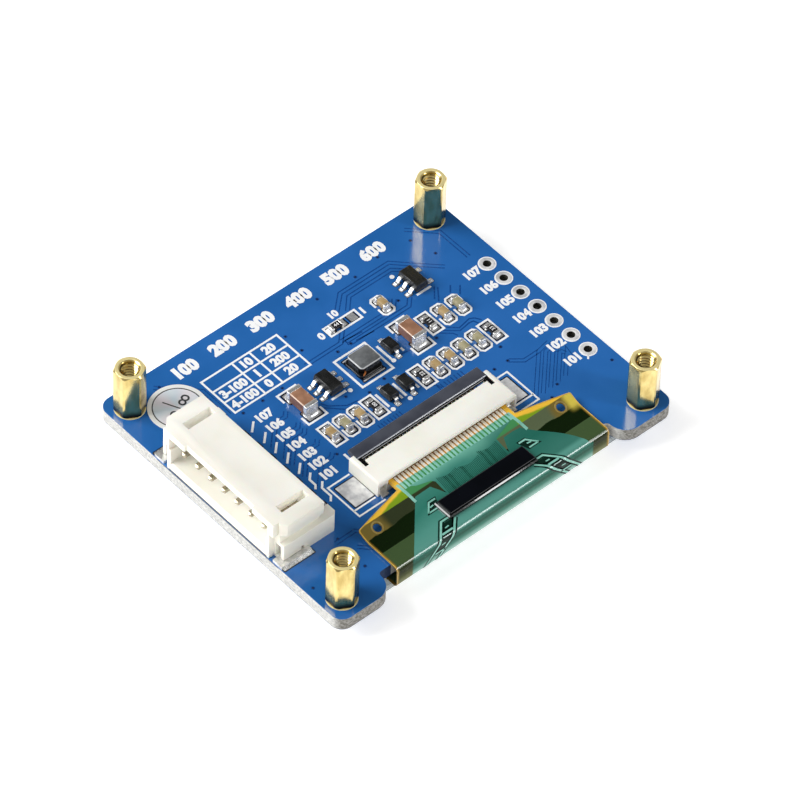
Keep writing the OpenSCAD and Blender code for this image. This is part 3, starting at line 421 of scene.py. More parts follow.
# Ferrite and brown ceramic: shaded sides, lit tops and a highlight round the top, all painted.
painted_light_top_finish("ferrite", "inductor_core", ((14, 14, 15), (14, 14, 15)),
                  ((92, 95, 97), (112, 115, 117)), (206, 208, 210), (0.02, 0.006), (0.12, 0.09),
                  size=1.6, grain=16.0, bump=0.4)
painted_light_top_finish("brown_ceramic", "large_capacitor_1", ((112, 74, 54), (136, 92, 68)),
                  ((146, 106, 82), (172, 128, 102)), (228, 196, 172), (0.045, 0.03), (0.13, 0.11),
                  size=1.2, grain=14.0, bump=0.25)
brass_finish()
contact_finish()
latch_finish()
sticker_finish()

# Even finishes: darkest and lightest colour, roughness, size and grain of the noise, bump

mottled("cream_plastic", (246, 243, 230), (254, 252, 243), (0.3, 0.4), 0.15, 9.0, 0.05,
        Subsurface_Weight=0.1, Subsurface_Scale=0.0005)
mottled("tinned_copper", (206, 206, 204), (244, 244, 242), (0.28, 0.45), 2.0, 10.0, 0.15,
        Metallic=0.7)
mottled("panel_glass", (208, 217, 217), (228, 235, 235), (0.04, 0.08), 0.1, 1.0, 0.01,
        Transmission_Weight=0.55)
mottled("polariser_film", (10, 10, 14), (18, 18, 24), (0.06, 0.1), 0.1, 1.5, 0.01, Coat_Weight=0.6)
mottled("tape", (214, 210, 196), (232, 230, 218), (0.7, 0.85), 0.8, 14.0, 0.4)
mottled("silicon", (1, 3, 8), (4, 6, 14), (0.05, 0.1), 0.3, 4.0, 0.02, Coat_Weight=0.3)
mottled("resin", (2, 8, 8), (6, 16, 14), (0.1, 0.16), 0.6, 3.0, 0.03, Coat_Weight=0.8)
mottled("enamelled_copper", (210, 120, 58), (246, 166, 98), (0.25, 0.4), 1.0, 10.0, 0.1,
        Metallic=0.6)
mottled("black_epoxy", (18, 19, 19), (34, 35, 35), (0.24, 0.36), 1.2, 16.0, 0.4)
mottled("zinc_steel", (168, 168, 166), (206, 206, 202), (0.22, 0.36), 1.0, 12.0, 0.15,
        Metallic=1.0)
mottled("tan_ceramic", (170, 142, 98), (194, 168, 122), (0.3, 0.42), 1.2, 14.0, 0.25)
mottled("grey_ceramic", (152, 146, 112), (182, 174, 142), (0.3, 0.42), 1.2, 14.0, 0.25)
mottled("black_ceramic", (20, 20, 22), (34, 34, 38), (0.25, 0.4), 1.2, 14.0, 0.2)
mottled("cap_metal", (222, 222, 220), (250, 249, 246), (0.2, 0.34), 1.5, 8.0, 0.16, Metallic=0.75)
mottled("pin_tin", (150, 142, 122), (192, 184, 164), (0.2, 0.32), 2.0, 10.0, Metallic=0.9)
# Tin in the holes' bores, painted dark as shade.
mottled("bore_tin", (44, 44, 38), (92, 92, 84), (0.25, 0.4), 2.0, 8.0, Metallic=0.5)
mottled("pad_tin", (196, 197, 200), (252, 252, 252), (0.35, 0.5), 1.0, 7.0, 0.25, Metallic=0.25)
mottled("solder", (200, 201, 204), (252, 252, 251), (0.2, 0.36), 1.1, 5.0, 0.3, Metallic=0.7)
mottled("white_ink", (250, 251, 252), (255, 255, 255), (0.4, 0.55), 0.8, 10.0)
mottled("dark_ink", (40, 42, 44), (66, 68, 70), (0.4, 0.5), 0.8, 10.0)
mottled("mask_line", (12, 66, 132), (20, 76, 146), (0.2, 0.3), 0.3, 4.0, 0.03, Coat_Weight=0.2)
mottled("mask_gap", (3, 10, 26), (6, 18, 42), (0.3, 0.45), 0.6, 8.0)
mottled("finger_print", (122, 190, 172), (152, 214, 198), (0.25, 0.35), 1.0, 6.0, 0.05,
        Coat_Weight=0.4)
mottled("finger_gold", (252, 240, 214), (255, 252, 242), (0.25, 0.35), 1.0, 8.0, 0.05,
        Metallic=0.1)
mottled("dark_print", (4, 30, 22), (12, 48, 36), (0.3, 0.4), 0.5, 6.0, Specular_IOR_Level=0.2)
mottled("fine_print", (6, 58, 44), (14, 76, 58), (0.3, 0.4), 0.5, 6.0, Specular_IOR_Level=0.2)
mottled("amber_rim", (196, 156, 62), (232, 196, 100), (0.2, 0.3), 1.0, 6.0, Coat_Weight=0.4)
mottled("hole_rim", (140, 120, 64), (170, 148, 86), (0.2, 0.3), 1.0, 6.0)
mottled("floor_paper", (252, 252, 252), (255, 255, 255), (0.8, 0.9), 0.01, 0.2, 0.0,
        Specular_IOR_Level=0.0, Emission_Color=(1, 1, 1, 1), Emission_Strength=0.48)

SLOT_OF = {part["node"]: part["material_slot"] for part in frame["record"]["subparts"]}
for name, node in nodes.items():
    node.data.materials.clear()
    node.data.materials.append(
        FINISHES["pin_tin" if name.startswith("header_pin_") else SLOT_OF[name]])


# Helpers for shapes, in millimetres

def move(bm, x, y, z):
    bmesh.ops.translate(bm, vec=(x, y, z), verts=bm.verts)


def turn_by(bm, angle, centre=(0, 0, 0)):
    """Turns a mesh round an upright axis."""
    bmesh.ops.rotate(bm, cent=centre, matrix=Matrix.Rotation(angle, 3, "Z"), verts=bm.verts)


def face_out(bm):
    bmesh.ops.recalc_face_normals(bm, faces=bm.faces)


def bevel(bm, edges, offset, segments, clamp=True):
    """Rounds edges; each new face takes its neighbour's place among the finishes."""
    bmesh.ops.bevel(bm, geom=edges, offset=offset, segments=segments, profile=0.5, affect="EDGES",
                    material=-1, clamp_overlap=clamp)


def cut(bm, axis, at, **more):
    """Cuts a mesh by the plane where an axis has a value."""
    point, normal = Vector(), Vector()
    point[axis], normal[axis] = at, 1
    bmesh.ops.bisect_plane(bm, geom=bm.verts[:] + bm.edges[:] + bm.faces[:], plane_co=point,
                           plane_no=normal, **more)


def fill_ends(bm):
    bmesh.ops.holes_fill(bm, edges=[e for e in bm.edges if e.is_boundary])
    face_out(bm)


def new_verts(result):
    return [v for v in result["geom"] if isinstance(v, bmesh.types.BMVert)]


def closed_ring(bm, points):
    """Corners and edges of a closed outline."""
    verts = [bm.verts.new(point) for point in points]
    return verts, [bm.edges.new(two) for two in zip(verts, verts[1:] + verts[:1])]


def soften(bm, degrees):
    """Smooth shading, with an edge kept sharp where its faces turn by more than this."""
    for face in bm.faces:
        face.smooth = True
    for edge in bm.edges:
        edge.smooth = len(edge.link_faces) == 2 and \
            edge.calc_face_angle(0) < math.radians(degrees)


def piece(name, bm, finishes, slot, body="module", sharp=32, stands_for=()):
    """Makes an object of a mesh drawn in mm, hangs it on the body it rides on, and hides the nodes
    it stands for.
    """
    bmesh.ops.scale(bm, vec=(MM, MM, MM), verts=bm.verts)
    soften(bm, sharp)
    mesh = bpy.data.meshes.new(name)
    bm.to_mesh(mesh)
    bm.free()
    made = bpy.data.objects.new(name, mesh)
    scene.collection.objects.link(made)
    for each in finishes.split():
        mesh.materials.append(FINISHES[each])
    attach(made, body)
    if stands_for:
        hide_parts(*stands_for)
    return made


def dressed(node, bm, name=None, finishes=None, **more):
    """A piece that stands for a CAD node, in the node's own finish where none is given."""
    slot = SLOT_OF[node]
    piece(name or node + "_dressed", bm, finishes or slot, slot, stands_for=(node,), **more)


def join(bm, part, index=0):
    """Adds a finished part to a piece's mesh, with its place among the finishes."""
    for face in part.faces:
        face.material_index = index
    mesh = bpy.data.meshes.new("part")
    part.to_mesh(mesh)
    part.free()
    bm.from_mesh(mesh)
    bpy.data.meshes.remove(mesh)


def block(bm, low, high, rounding=0.0, segments=2, index=0):
    part = bmesh.new()
    bmesh.ops.create_cube(part, size=1)
    bmesh.ops.scale(part, vec=[h - l for l, h in zip(low, high)], verts=part.verts)
    move(part, *((h + l) / 2 for l, h in zip(low, high)))
    if rounding:
        bevel(part, part.edges[:], rounding, segments)
    join(bm, part, index)


def turned(bm, profile, centre, steps):
    """Spins a closed outline of radius and height round an upright axis."""
    part = bmesh.new()
    verts, edges = closed_ring(part, [(r, 0, z) for r, z in profile])
    bmesh.ops.spin(part, geom=verts + edges, cent=(0, 0, 0), axis=(0, 0, 1), angle=2 * math.pi,
                   steps=steps, use_merge=True)
    bmesh.ops.remove_doubles(part, verts=part.verts, dist=1e-5)
    face_out(part)
    move(part, centre[0], centre[1], 0)
    join(bm, part)


def ring(bm, inner, outer, low, high, centre, steps, slope=0.0):
    """A flat ring, narrower by slope on each side at its top."""
    turned(bm, [(inner, low), (outer, low), (outer - slope, high), (inner + slope, high)],
           centre, steps)


def disc(bm, x, y, r, low, high, segments=20, index=0):
    part = bmesh.new()
    bmesh.ops.create_cone(part, cap_ends=True, segments=segments, radius1=r, radius2=r,
                          depth=high - low, matrix=Matrix.Translation((x, y, (low + high) / 2)))
    join(bm, part, index)


def thicken(bm, part, faces, height, index=0):
    """Raises flat faces into a solid and adds it to a piece's mesh."""
    raised = bmesh.ops.extrude_face_region(part, geom=faces)
    bmesh.ops.translate(part, vec=(0, 0, height), verts=new_verts(raised))
    face_out(part)
    join(bm, part, index)


def slab(bm, outline, low=0, high=1, index=0):
    """A flat outline with its thickness, which stays 0 to 1 where wrap() lays it on the film."""
    part = bmesh.new()
    face = part.faces.new([part.verts.new((x, y, low)) for x, y in outline])
    thicken(bm, part, [face], high - low, index)


def stroke_sides(points, width, closed=False):
    """The two sides of a line of even width with mitred corners."""
    points = [Vector(p) for p in points]
    count = len(points)
    left, right = [], []
    for i, here in enumerate(points):
        before = points[(i - 1) % count] if closed or i else None
        after = points[(i + 1) % count] if closed or i < count - 1 else None
        into = (here - before).normalized() if before else (after - here).normalized()
        out = (after - here).normalized() if after else into
        normal_in, normal_out = Vector((-into.y, into.x)), Vector((-out.y, out.x))
        mitre = (normal_in + normal_out).normalized()
        mitre *= width / 2 / max(mitre.dot(normal_in), 0.3)
        left.append(here + mitre)
        right.append(here - mitre)
    return left, right


def stroke(bm, points, width, low=0, high=1, closed=False):
    """A flat line of even width along points, as thick as a slab would be."""
    part = bmesh.new()
    a, b = ([part.verts.new((p.x, p.y, low)) for p in side]
            for side in stroke_sides(points, width, closed))
    count = len(a)
    faces = [part.faces.new((a[i], a[(i + 1) % count], b[(i + 1) % count], b[i]))
             for i in range(count if closed else count - 1)]
    thicken(bm, part, faces, high - low)


def tube(bm, points, r, sides=8):
    """A round wire along points: a ring carried from one to the next and joined by bridges."""
    part = bmesh.new()
    points = [Vector(p) for p in points]
    rings = []
    for i, here in enumerate(points):
        ahead = points[min(i + 1, len(points) - 1)] - points[max(i - 1, 0)]
        lean = ahead.to_track_quat("Z", "Y").to_matrix().to_4x4()
        made = bmesh.ops.create_circle(part, segments=sides, radius=r,
                                       matrix=Matrix.Translation(here) @ lean)
        rings.append({e for v in made["verts"] for e in v.link_edges})
    for a, b in zip(rings, rings[1:]):
        bmesh.ops.bridge_loops(part, edges=list(a | b))
    fill_ends(part)
    join(bm, part)


def corners(x0, x1, y0, y1):
    return [(x0, y0), (x1, y0), (x1, y1), (x0, y1)]


def round_corners(x0, x1, y0, y1, r, steps=4):
    """An outline of a rectangle with round corners."""
    out = []
    for cx, cy, start in ((x1 - r, y1 - r, 0), (x0 + r, y1 - r, 90), (x0 + r, y0 + r, 180),
                          (x1 - r, y0 + r, 270)):
        for i in range(steps + 1):
            a = math.radians(start + 90 * i / steps)
            out.append((cx + r * math.cos(a), cy + r * math.sin(a)))
    return out


def digits(bm, text, height, x, y, low, high, align="CENTER", weight=0.058, turn=0.0):
    """Plain numbers of a given cap height, with their middle at y."""
    curve = bpy.data.curves.new("digits", "FONT")
    curve.body, curve.align_x = text, align
    curve.size, curve.offset, curve.extrude, curve.resolution_u = 1.0, weight, 0.5, 3
    shape = bpy.data.objects.new("digits", curve)
    scene.collection.objects.link(shape)
    bpy.context.view_layer.update()
    mesh = bpy.data.meshes.new_from_object(
        shape.evaluated_get(bpy.context.evaluated_depsgraph_get()))
    part = bmesh.new()
    part.from_mesh(mesh)
    bpy.data.objects.remove(shape)
    bpy.data.meshes.remove(mesh)
    bmesh.ops.remove_doubles(part, verts=part.verts, dist=1e-4)
    bottom, top = min(v.co.y for v in part.verts), max(v.co.y for v in part.verts)
    grow = height / (top - bottom)
    move(part, 0, -(top + bottom) / 2, 0.5)
    bmesh.ops.scale(part, vec=(grow, grow, high - low), verts=part.verts)
    turn_by(part, turn)
    move(part, x, y, low)
    join(bm, part)


def cad_copy(name, rounding, segments=2, angle=35, widen=None):
    """A copy of a CAD node's mesh in mm, merged, flattened to whole faces and bevelled."""
    bm = bmesh.new()
    bm.from_mesh(nodes[name].data)
    bmesh.ops.scale(bm, vec=(1 / MM,) * 3, verts=bm.verts)
    bmesh.ops.remove_doubles(bm, verts=bm.verts, dist=1e-4)
    bmesh.ops.dissolve_limit(bm, angle_limit=math.radians(1), verts=bm.verts, edges=bm.edges)
    if widen:
        widen(bm)
    bevel(bm, [e for e in bm.edges if len(e.link_faces) == 2
               and e.calc_face_angle(0) > math.radians(angle)], rounding, segments)
    return bm


# Numbers printed on the board

INK_LOW, INK_HIGH = TOP - 0.01, TOP + 0.022
HOLE_X, HOLE_PITCH = 20.35, 2.54
HOLES = [(HOLE_X, (i - 3) * HOLE_PITCH) for i in range(7)]
HOLE_NUMBER_X, PIN_NUMBER_X, NUMBER_HEIGHT = 19.28, -11.5, 1.15
PIN_NUMBER_Y = (6.68, 5.03, 3.38, 1.75, 0.08, -1.47, -3.15)
SCALE_START, SCALE_STEP, SCALE_Y, SCALE_HEIGHT = -12.5, 5.0, 16.5, 1.7
TABLE = (("", "10", "20"), ("3-100", "1", "200"), ("4-100", "0", "20"))
TABLE_X, TABLE_Y = (-12.4, -8.4, -6.1, -2.44), (14.06, 12.3, 10.5, 8.8)

numbers = bmesh.new()


def label(text, x, y, height=NUMBER_HEIGHT, **more):
    digits(numbers, text, height, x, y, INK_LOW, INK_HIGH, **more)


for i, y in enumerate(PIN_NUMBER_Y):
    label(f"10{7 - i}", PIN_NUMBER_X, y, align="LEFT")
    label(f"10{7 - i}", HOLE_NUMBER_X, (3 - i) * HOLE_PITCH, align="RIGHT")
for text, x, y, height in (("0", 0.9, 11.0, 1.0), ("1", 6.4, 11.0, 1.0), ("10", 3.7, 12.5, 0.95)):
    label(text, x, y, height)
for i in range(6):
    label(str(100 * i + 100), SCALE_START + SCALE_STEP * i, SCALE_Y, SCALE_HEIGHT, weight=0.072)
for row, line in enumerate(TABLE):
    for column, text in enumerate(line):
        if text:
            label(text, (TABLE_X[column] + TABLE_X[column + 1]) / 2,
                  (TABLE_Y[row] + TABLE_Y[row + 1]) / 2)
piece("printed_numbers", numbers, "white_ink", "solder_mask")

# Lines and frames printed on the board

FRAME_INK = 0.23
FRONT_ROW, MIDDLE_ROW = (-1.1, 1.9), (3.86, 6.74)
SQUARE_FRAMES = [(-7.6, -6.14, *FRONT_ROW), (-1.99, -0.53, *FRONT_ROW), (4.36, 5.84, *FRONT_ROW),
                 (13.84, 15.3, *FRONT_ROW), (9.68, 11.14, *MIDDLE_ROW), (1.66, 5.78, 10.3, 11.6)]
ROUND_FRAMES = [(-5.74, -4.26, *FRONT_ROW), (-3.86, -2.4, *FRONT_ROW), (6.26, 7.74, *FRONT_ROW),
                (8.16, 9.64, *FRONT_ROW), (10.06, 11.54, *FRONT_ROW), (11.96, 13.42, *FRONT_ROW),
                (11.62, 13.1, *MIDDLE_ROW), (13.58, 15.08, *MIDDLE_ROW), (7.68, 9.14, 8.9, 11.5)]
FRAME_GAP, FRAME_CORNER = 0.18, (0.28, 0.3)
PLAIN_LINES = [((-3.9, 3.9), (-2.0, 3.9), 0.26), ((12.0, 9.0), (13.9, 9.0), 0.26),
               ((-0.1, -0.5), (-0.1, 1.6), 0.27), ((2.2, -0.5), (2.2, 1.6), 0.27),
               ((1.68, -0.5), (1.68, 0.1), 0.25), ((3.88, -0.5), (3.88, 0.1), 0.25),
               ((4.28, 4.1), (4.28, 6.4), 0.27), ((6.0, 4.2), (6.0, 4.7), 0.25),
               ((19.75, -8.3), (19.45, -8.62), 0.2), ((-7.68, -2.3), (-7.68, -3.3), 0.26)]
FIRST_LEAD_DOTS = [(0.0, -1.0), (2.26, -1.0), (-1.64, 3.66), (4.34, 3.86), (11.72, 12.5)]

lines = bmesh.new()


def ink(points, width=0.22, closed=False):
    stroke(lines, points, width, INK_LOW, INK_HIGH, closed)


ink(corners(TABLE_X[0], TABLE_X[3], TABLE_Y[3], TABLE_Y[0]), closed=True)
for y in TABLE_Y[1:3]:
    ink([(TABLE_X[0] + 0.1, y), (TABLE_X[3] - 0.1, y)])
for x in TABLE_X[1:3]:
    for high, low in zip(TABLE_Y, TABLE_Y[1:]):
        ink([(x, low + 0.1), (x, high - 0.1)])
for y in (5.76, 3.9, 2.19, 0.4, -1.38):
    ink([(-12.8, y), (-11.75, y + 1.0)], 0.24)
ink([(-12.85, -3.95), (-12.49, -3.52), (-12.49, -2.64), (-11.82, -1.98)], 0.24)
ink([(-12.73, -6.1), (-12.25, -5.57), (-12.25, -4.24), (-11.65, -3.6)], 0.24)
for frame_box in SQUARE_FRAMES:
    ink(corners(*frame_box), FRAME_INK, closed=True)
for x0, x1, y0, y1 in ROUND_FRAMES:
    for rise, far in ((1, y1), (-1, y0)):
        near = (y0 + y1) / 2 + rise * FRAME_GAP
        side, end = FRAME_CORNER
        ink([(x0, near), (x0, far - rise * end), (x0 + side, far), (x1 - side, far),
             (x1, far - rise * end), (x1, near)], FRAME_INK)
for x0, x1 in ((-7.8, -5.4), (6.74, 9.06)):
    for near, far in ((6.6, 7.75), (4.0, 2.86)):
        ink([(x0, near), (x0, far), (x1, far), (x1, near)], FRAME_INK)
ink(corners(-0.42, 3.66, 3.14, 7.54), 0.25, closed=True)
for start, end, width in PLAIN_LINES:
    ink([start, end], width)
for x, inner, short in ((-11.83, -9.0, -8.4), (12.04, 9.4, 8.8)):
    ink([(inner, -4.63), (x, -4.63), (x, -9.4), (short, -9.4)], 0.2)
    ink([(x, -8.55), (inner, -8.55)], 0.2)
for x, y in FIRST_LEAD_DOTS:
    disc(lines, x, y, 0.26, INK_LOW, INK_HIGH)
for centre in HOLES:
    ring(lines, 0.8, 0.96, INK_LOW, INK_HIGH, centre, 40)
piece("printed_lines", lines, "white_ink", "solder_mask")

# Lines in the mask beside buried tracks

LINE_LOW, LINE_HIGH = TOP - 0.01, TOP + 0.006
BOARD_PAIRS = [
    [(4.15, 12.4), (6.2, 14.2), (12.75, 14.2), (14.2, 12.7), (16.8, 10.1)],
    [(5.2, 11.9), (6.6, 13.3), (12.3, 13.3), (13.4, 12.3)],
    [(-2.9, 9.05), (1.8, 9.05), (3.2, 10.4)],
    [(2.0, 9.2), (9.0, 9.2), (9.9, 10.1)],
    [(2.4, 8.4), (10.4, 8.4), (11.8, 9.8)],
    [(-16.5, 16.6), (-13.0, 13.1), (-13.0, 9.0)],
    [(17.0, 16.6), (19.6, 14.0), (19.6, 9.6)],
    [(-15.9, -10.5), (-13.4, -10.5), (-12.4, -11.5)],
    [(-14.6, -12.2), (-13.2, -13.6), (-13.2, -16.6)],
    [(16.4, -4.6), (14.4, -4.6), (13.2, -3.6)]]
SINGLE_LINES = [
    [(10.74, 4.39), (12.35, 2.9), (13.94, 3.19), (14.43, 2.89), (14.81, 2.25)],
    [(10.8, 3.71), (12.15, 2.57), (13.56, 2.76), (14.04, 2.67), (14.28, 2.08)],
    [(10.09, 3.87), (11.36, 2.75), (11.55, 2.22)], [(14.15, 8.76), (13.03, 7.44)],
    [(14.36, 8.46), (13.17, 6.95)], [(15.53, 7.85), (14.83, 7.06)],
    [(16.29, 7.21), (15.46, 6.28)], [(-5.15, 3.57), (-3.47, 1.85), (-3.09, 1.74)],
    [(-5.06, 4.23), (-4.71, 3.52), (-3.19, 2.35), (-1.95, 2.13)],
    [(5.51, 4.01), (6.94, 3.8)], [(4.89, -0.94), (5.44, -1.4), (5.65, -2.01)],
    [(4.5, 8.82), (2.36, 9.07), (2.27, 8.33)], [(5.5, 8.12), (3.22, 8.34)]]

routes = bmesh.new()


def route(points, width):
    stroke(routes, points, width, LINE_LOW, LINE_HIGH)


def pair(points, apart=0.42, width=0.12):
    """The two clearance lines beside a buried track."""
    for side in stroke_sides(points, apart):
        route(side, width)


for points in BOARD_PAIRS:
    pair(points)
for i in range(5):
    pair([(11.8 + i * 1.1, -9.2 + i * 0.1), (16.4 + i * 0.55, -4.6 - i * 0.45),
          (18.0 + i * 0.1, -4.3 - i * 0.75)], 0.4, 0.08)
for y, rise in ((5.2, 0.5), (3.3, 0.5), (2.3, 0.5), (0.4, 0.5), (-1.8, 0.4)):
    pair([(-12.6, y - 2.4), (-10.2, y), (-8.9, y), (-8.4, y + rise)])
for i in range(4):
    pair([(-2.4 + i * 0.8, -1.6), (-2.4 + i * 0.8, -3.0 - i * 0.2)])
    pair([(5.6 + i * 0.9, -1.5), (5.6 + i * 0.9, -3.2)])
for points in SINGLE_LINES:
    route(points, 0.15)
piece("mask_lines", routes, "mask_line", "solder_mask")

# Small holes filled with mask

VIAS = [(-11.8, 8.26), (-9.24, 8.26), (-6.66, 8.26), (-1.84, 10.84), (0.8, 8.36), (2.56, 8.36),
        (-0.34, 2.2), (2.0, 2.64), (-2.54, 3.3), (9.66, 3.36), (-8.2, -1.84), (13.8, -1.7),
        (11.3, -3.56), (13.1, -3.56), (10.06, 9.64), (-1.9, 13.3), (-16, 16.3), (3.9, 15.1),
        (8.85, 14.9), (12.4, 15.5), (16.5, 15.06), (17.3, 12.1), (21.21, -10.26),
        (-15.62, -14.53), (-15.37, -10.22), (-21.34, -13.36), (13.2, -10.1), (14.8, -9.1)]

vias = bmesh.new()
for x, y in VIAS:
    ring(vias, 0.1, 0.22, LINE_LOW, LINE_HIGH + 0.01, (x, y), 16, slope=0.02)
    disc(vias, x, y, 0.11, LINE_LOW, LINE_HIGH, 12, 1)
piece("mask_vias", vias, "mask_line mask_gap", "solder_mask")

# Pads, solder, the dark openings round the pads, and painted shadow under the inductor and along
# the header's front

gaps_and_shadow, pads = bmesh.new(), bmesh.new()


def pad(xs, ys, gap=0.17, radius=0.08, index=0):
    """A tinned pad between two x and two y, in a wider opening of the mask."""
    (x0, x1), (y0, y1) = sorted(xs), sorted(ys)
    slab(gaps_and_shadow, round_corners(x0 - gap, x1 + gap, y0 - gap, y1 + gap, radius + gap), LINE_LOW,
         LINE_HIGH + 0.002)
    slab(pads, round_corners(x0, x1, y0, y1, radius), LINE_LOW, TOP + 0.02, index)


def fillet(end, middle, axis, sign, width, reach, height):
    """Solder that rises to a part's end on an axis: a grid with its heights, closed below."""
    part = bmesh.new()
    across, out, base = 8, 7, 0.02
    bmesh.ops.create_grid(part, x_segments=across, y_segments=out, size=0.5)
    for v in part.verts:
        u, w = v.co.x * 2, v.co.y + 0.5
        flank = max(1 - abs(u) ** 4, 0)
        rise = height * (1 - w) ** 2.2 * flank + base * (1 - w ** 6) * max(1 - abs(u) ** 8, 0)
        v.co = Vector((u * width / 2, w * reach, max(rise, 0.004)))
    for v in new_verts(bmesh.ops.extrude_face_region(part, geom=part.faces[:])):
        v.co.z = -0.01
    face_out(part)
    turn_by(part, (1 - sign) * QUARTER_TURN if axis else -sign * QUARTER_TURN)
    start = end - sign * 0.02
    move(part, *((middle, start) if axis else (start, middle)), TOP)
    join(pads, part)


def ends(name):
    """Both ends of a part's longer side: axis, sign, place, the two sides, middle and height."""
    low, high, centre = box_mm(name)
    axis = int(high.y - low.y > high.x - low.x)
    sides = (low[1 - axis], high[1 - axis])
    return [(axis, sign, (low, high)[sign > 0][axis], sides, centre[1 - axis], high.z - low.z)
            for sign in (-1, 1)]


CHIPS = [n for n in nodes if n.startswith(("capacitor_", "resistor_", "large_capacitor_"))]
SIDE_MARGIN, FILLET_SHARE = 0.06, 0.72
for name in CHIPS:
    reach, under = (0.62, 0.7) if name.startswith("large") else (0.4, 0.4)
    for axis, sign, end, (side_low, side_high), middle, height in ends(name):
        span = (end - sign * under, end + sign * reach)
        wide = (side_low - SIDE_MARGIN, side_high + SIDE_MARGIN)
        pad(*((wide, span) if axis else (span, wide)))
        fillet(end, middle, axis, sign, side_high - side_low + SIDE_MARGIN, reach - SIDE_MARGIN,
               height * FILLET_SHARE)

TEST_PAD = ((4.55, 5.45), (10.5, 11.45))
NAIL_PADS_X, NAIL_PADS_Y = ((-11.35, -8.9), (9.7, 11.55)), (-8.25, -5.15)
pad(*TEST_PAD)
for xs in NAIL_PADS_X:
    pad(xs, NAIL_PADS_Y, gap=0.15, radius=0.05, index=1)

DIODES = ("diode_1", "diode_2", "diode_3")
for name in DIODES:
    for axis, sign, end, _, x, _ in ends(name):
        pad((x - 0.28, x + 0.28), (end - sign * 0.45, end + (0.12 if sign > 0 else -0.24)),
            gap=0.06, index=1)
        fillet(end, x, axis, sign, width=0.56, reach=0.26, height=0.16)

LEAD_STEP = 0.95
LEADS = {"regulator": ((-1, 0, 1), (-1, 1)), "converter": ((-1, 0, 1), (-1, 0, 1))}
for name, sides in LEADS.items():
    low, high, centre = box_mm(name)
    for sign, x, leads in zip((-1, 1), (low.x, high.x), sides):
        for y in (centre.y + step * LEAD_STEP for step in leads):
            pad((x - sign * 0.5, x + sign * 0.24), (y - 0.26, y + 0.26), gap=0.06, index=1)
            fillet(x, y, 0, sign, width=0.5, reach=0.3, height=0.16)

INDUCTOR_LOW, INDUCTOR_HIGH, INDUCTOR = box_mm("inductor_core")
for sign, y in ((-1, INDUCTOR_LOW.y), (1, INDUCTOR_HIGH.y)):
    inner, outer = y + sign * 0.1, y + sign * 0.26
    pad((INDUCTOR.x - 1.4, INDUCTOR.x + 1.4), (inner, outer), gap=0.14, radius=0.05, index=1)
    # Dark mask from the pads in under the inductor's body: painted shadow of the body.
    slab(gaps_and_shadow, round_corners(INDUCTOR.x - 1.5, INDUCTOR.x + 1.5,
                             *sorted((y - sign * 0.9, inner)), 0.1), LINE_LOW, LINE_HIGH)

HEADER_LOW, HEADER_HIGH, _ = box_mm("header_housing")
for i in range(1, 8):
    _, pin_high, pin_centre = box_mm(f"header_pin_{i}")
    y, tail = pin_centre.y, pin_high.x
    pad((HEADER_HIGH.x - 1.3, tail + 0.35), (y - 0.42, y + 0.42))
    fillet(tail, y, 0, 1, width=0.7, reach=0.33, height=0.4)
for name in ("header_tab_left", "header_tab_right"):
    low, high, _ = box_mm(name)
    ys = (low.y - 0.35, low.y + 0.8) if low.y < 0 else (high.y - 0.8, high.y + 0.35)
    pad((max(low.x, BOARD_LOW.x + 0.2), high.x + 0.1), ys, gap=0.12, radius=0.05)
# A dark strip on the board's edge along the header's front: painted shadow.
SHADOW_HALF = 7.4
block(gaps_and_shadow, (BOARD_LOW.x + 0.01, -SHADOW_HALF, TOP - 0.01),
      (HEADER_LOW.x + 0.03, SHADOW_HALF, TOP + 0.1))
piece("mask_openings_and_shadow", gaps_and_shadow, "mask_gap", "solder_mask")
piece("solder", pads, "solder pad_tin", "tinned_copper")

# Plating in the row of holes

BORE_R, WALL_R, RIM_R, RIM_UNDER = 0.43, 0.495, 0.84, 0.045
barrels = bmesh.new()
for centre in HOLES:
    turned(barrels, [(BORE_R, BOARD_LOW.z - RIM_UNDER), (RIM_R, BOARD_LOW.z - RIM_UNDER),
                     (RIM_R, BOARD_LOW.z), (WALL_R, BOARD_LOW.z), (WALL_R, TOP), (RIM_R, TOP),
                     (0.82, TOP + 0.05), (0.52, TOP + 0.06), (0.45, TOP + 0.03),
                     (BORE_R, TOP - 0.04)], centre, 40)
# Faces inside the bores take the dark tin: painted shade.
for face in barrels.faces:
    middle = face.calc_center_median()
    nearest = (HOLE_X, round(middle.y / HOLE_PITCH) * HOLE_PITCH)
    if math.dist((middle.x, middle.y), nearest) < BORE_R + 0.01:
        face.material_index = 1
dressed("plated_holes", barrels, "plated_barrels", "pad_tin bore_tin")

# Chip parts: a ceramic body with a wrapped metal cap on each end

GREY_CAPACITORS = ("capacitor_2", "capacitor_6", "capacitor_9", "capacitor_10")
BODY_INSET = Vector((0.025, 0.025, 0.025))
CAP_LENGTH, LARGE_CAP_LENGTH, CAP_ROUNDING = 0.34, 0.5, 0.075

for name in CHIPS:
    low, high, _ = box_mm(name)
    large = name.startswith("large")
    cap = LARGE_CAP_LENGTH if large else CAP_LENGTH
    bm = bmesh.new()
    block(bm, low + BODY_INSET, high - BODY_INSET, *((0.09, 1) if large else (0.05, 2)))
    for axis, sign, end, *_ in ends(name):
        a, b = low.copy(), high.copy()
        (a if sign > 0 else b)[axis] = end - sign * cap
        block(bm, a, b, CAP_ROUNDING, 3, index=1)
    body = "grey_ceramic" if name in GREY_CAPACITORS else SLOT_OF[name]
    dressed(name, bm, finishes=body + " cap_metal")

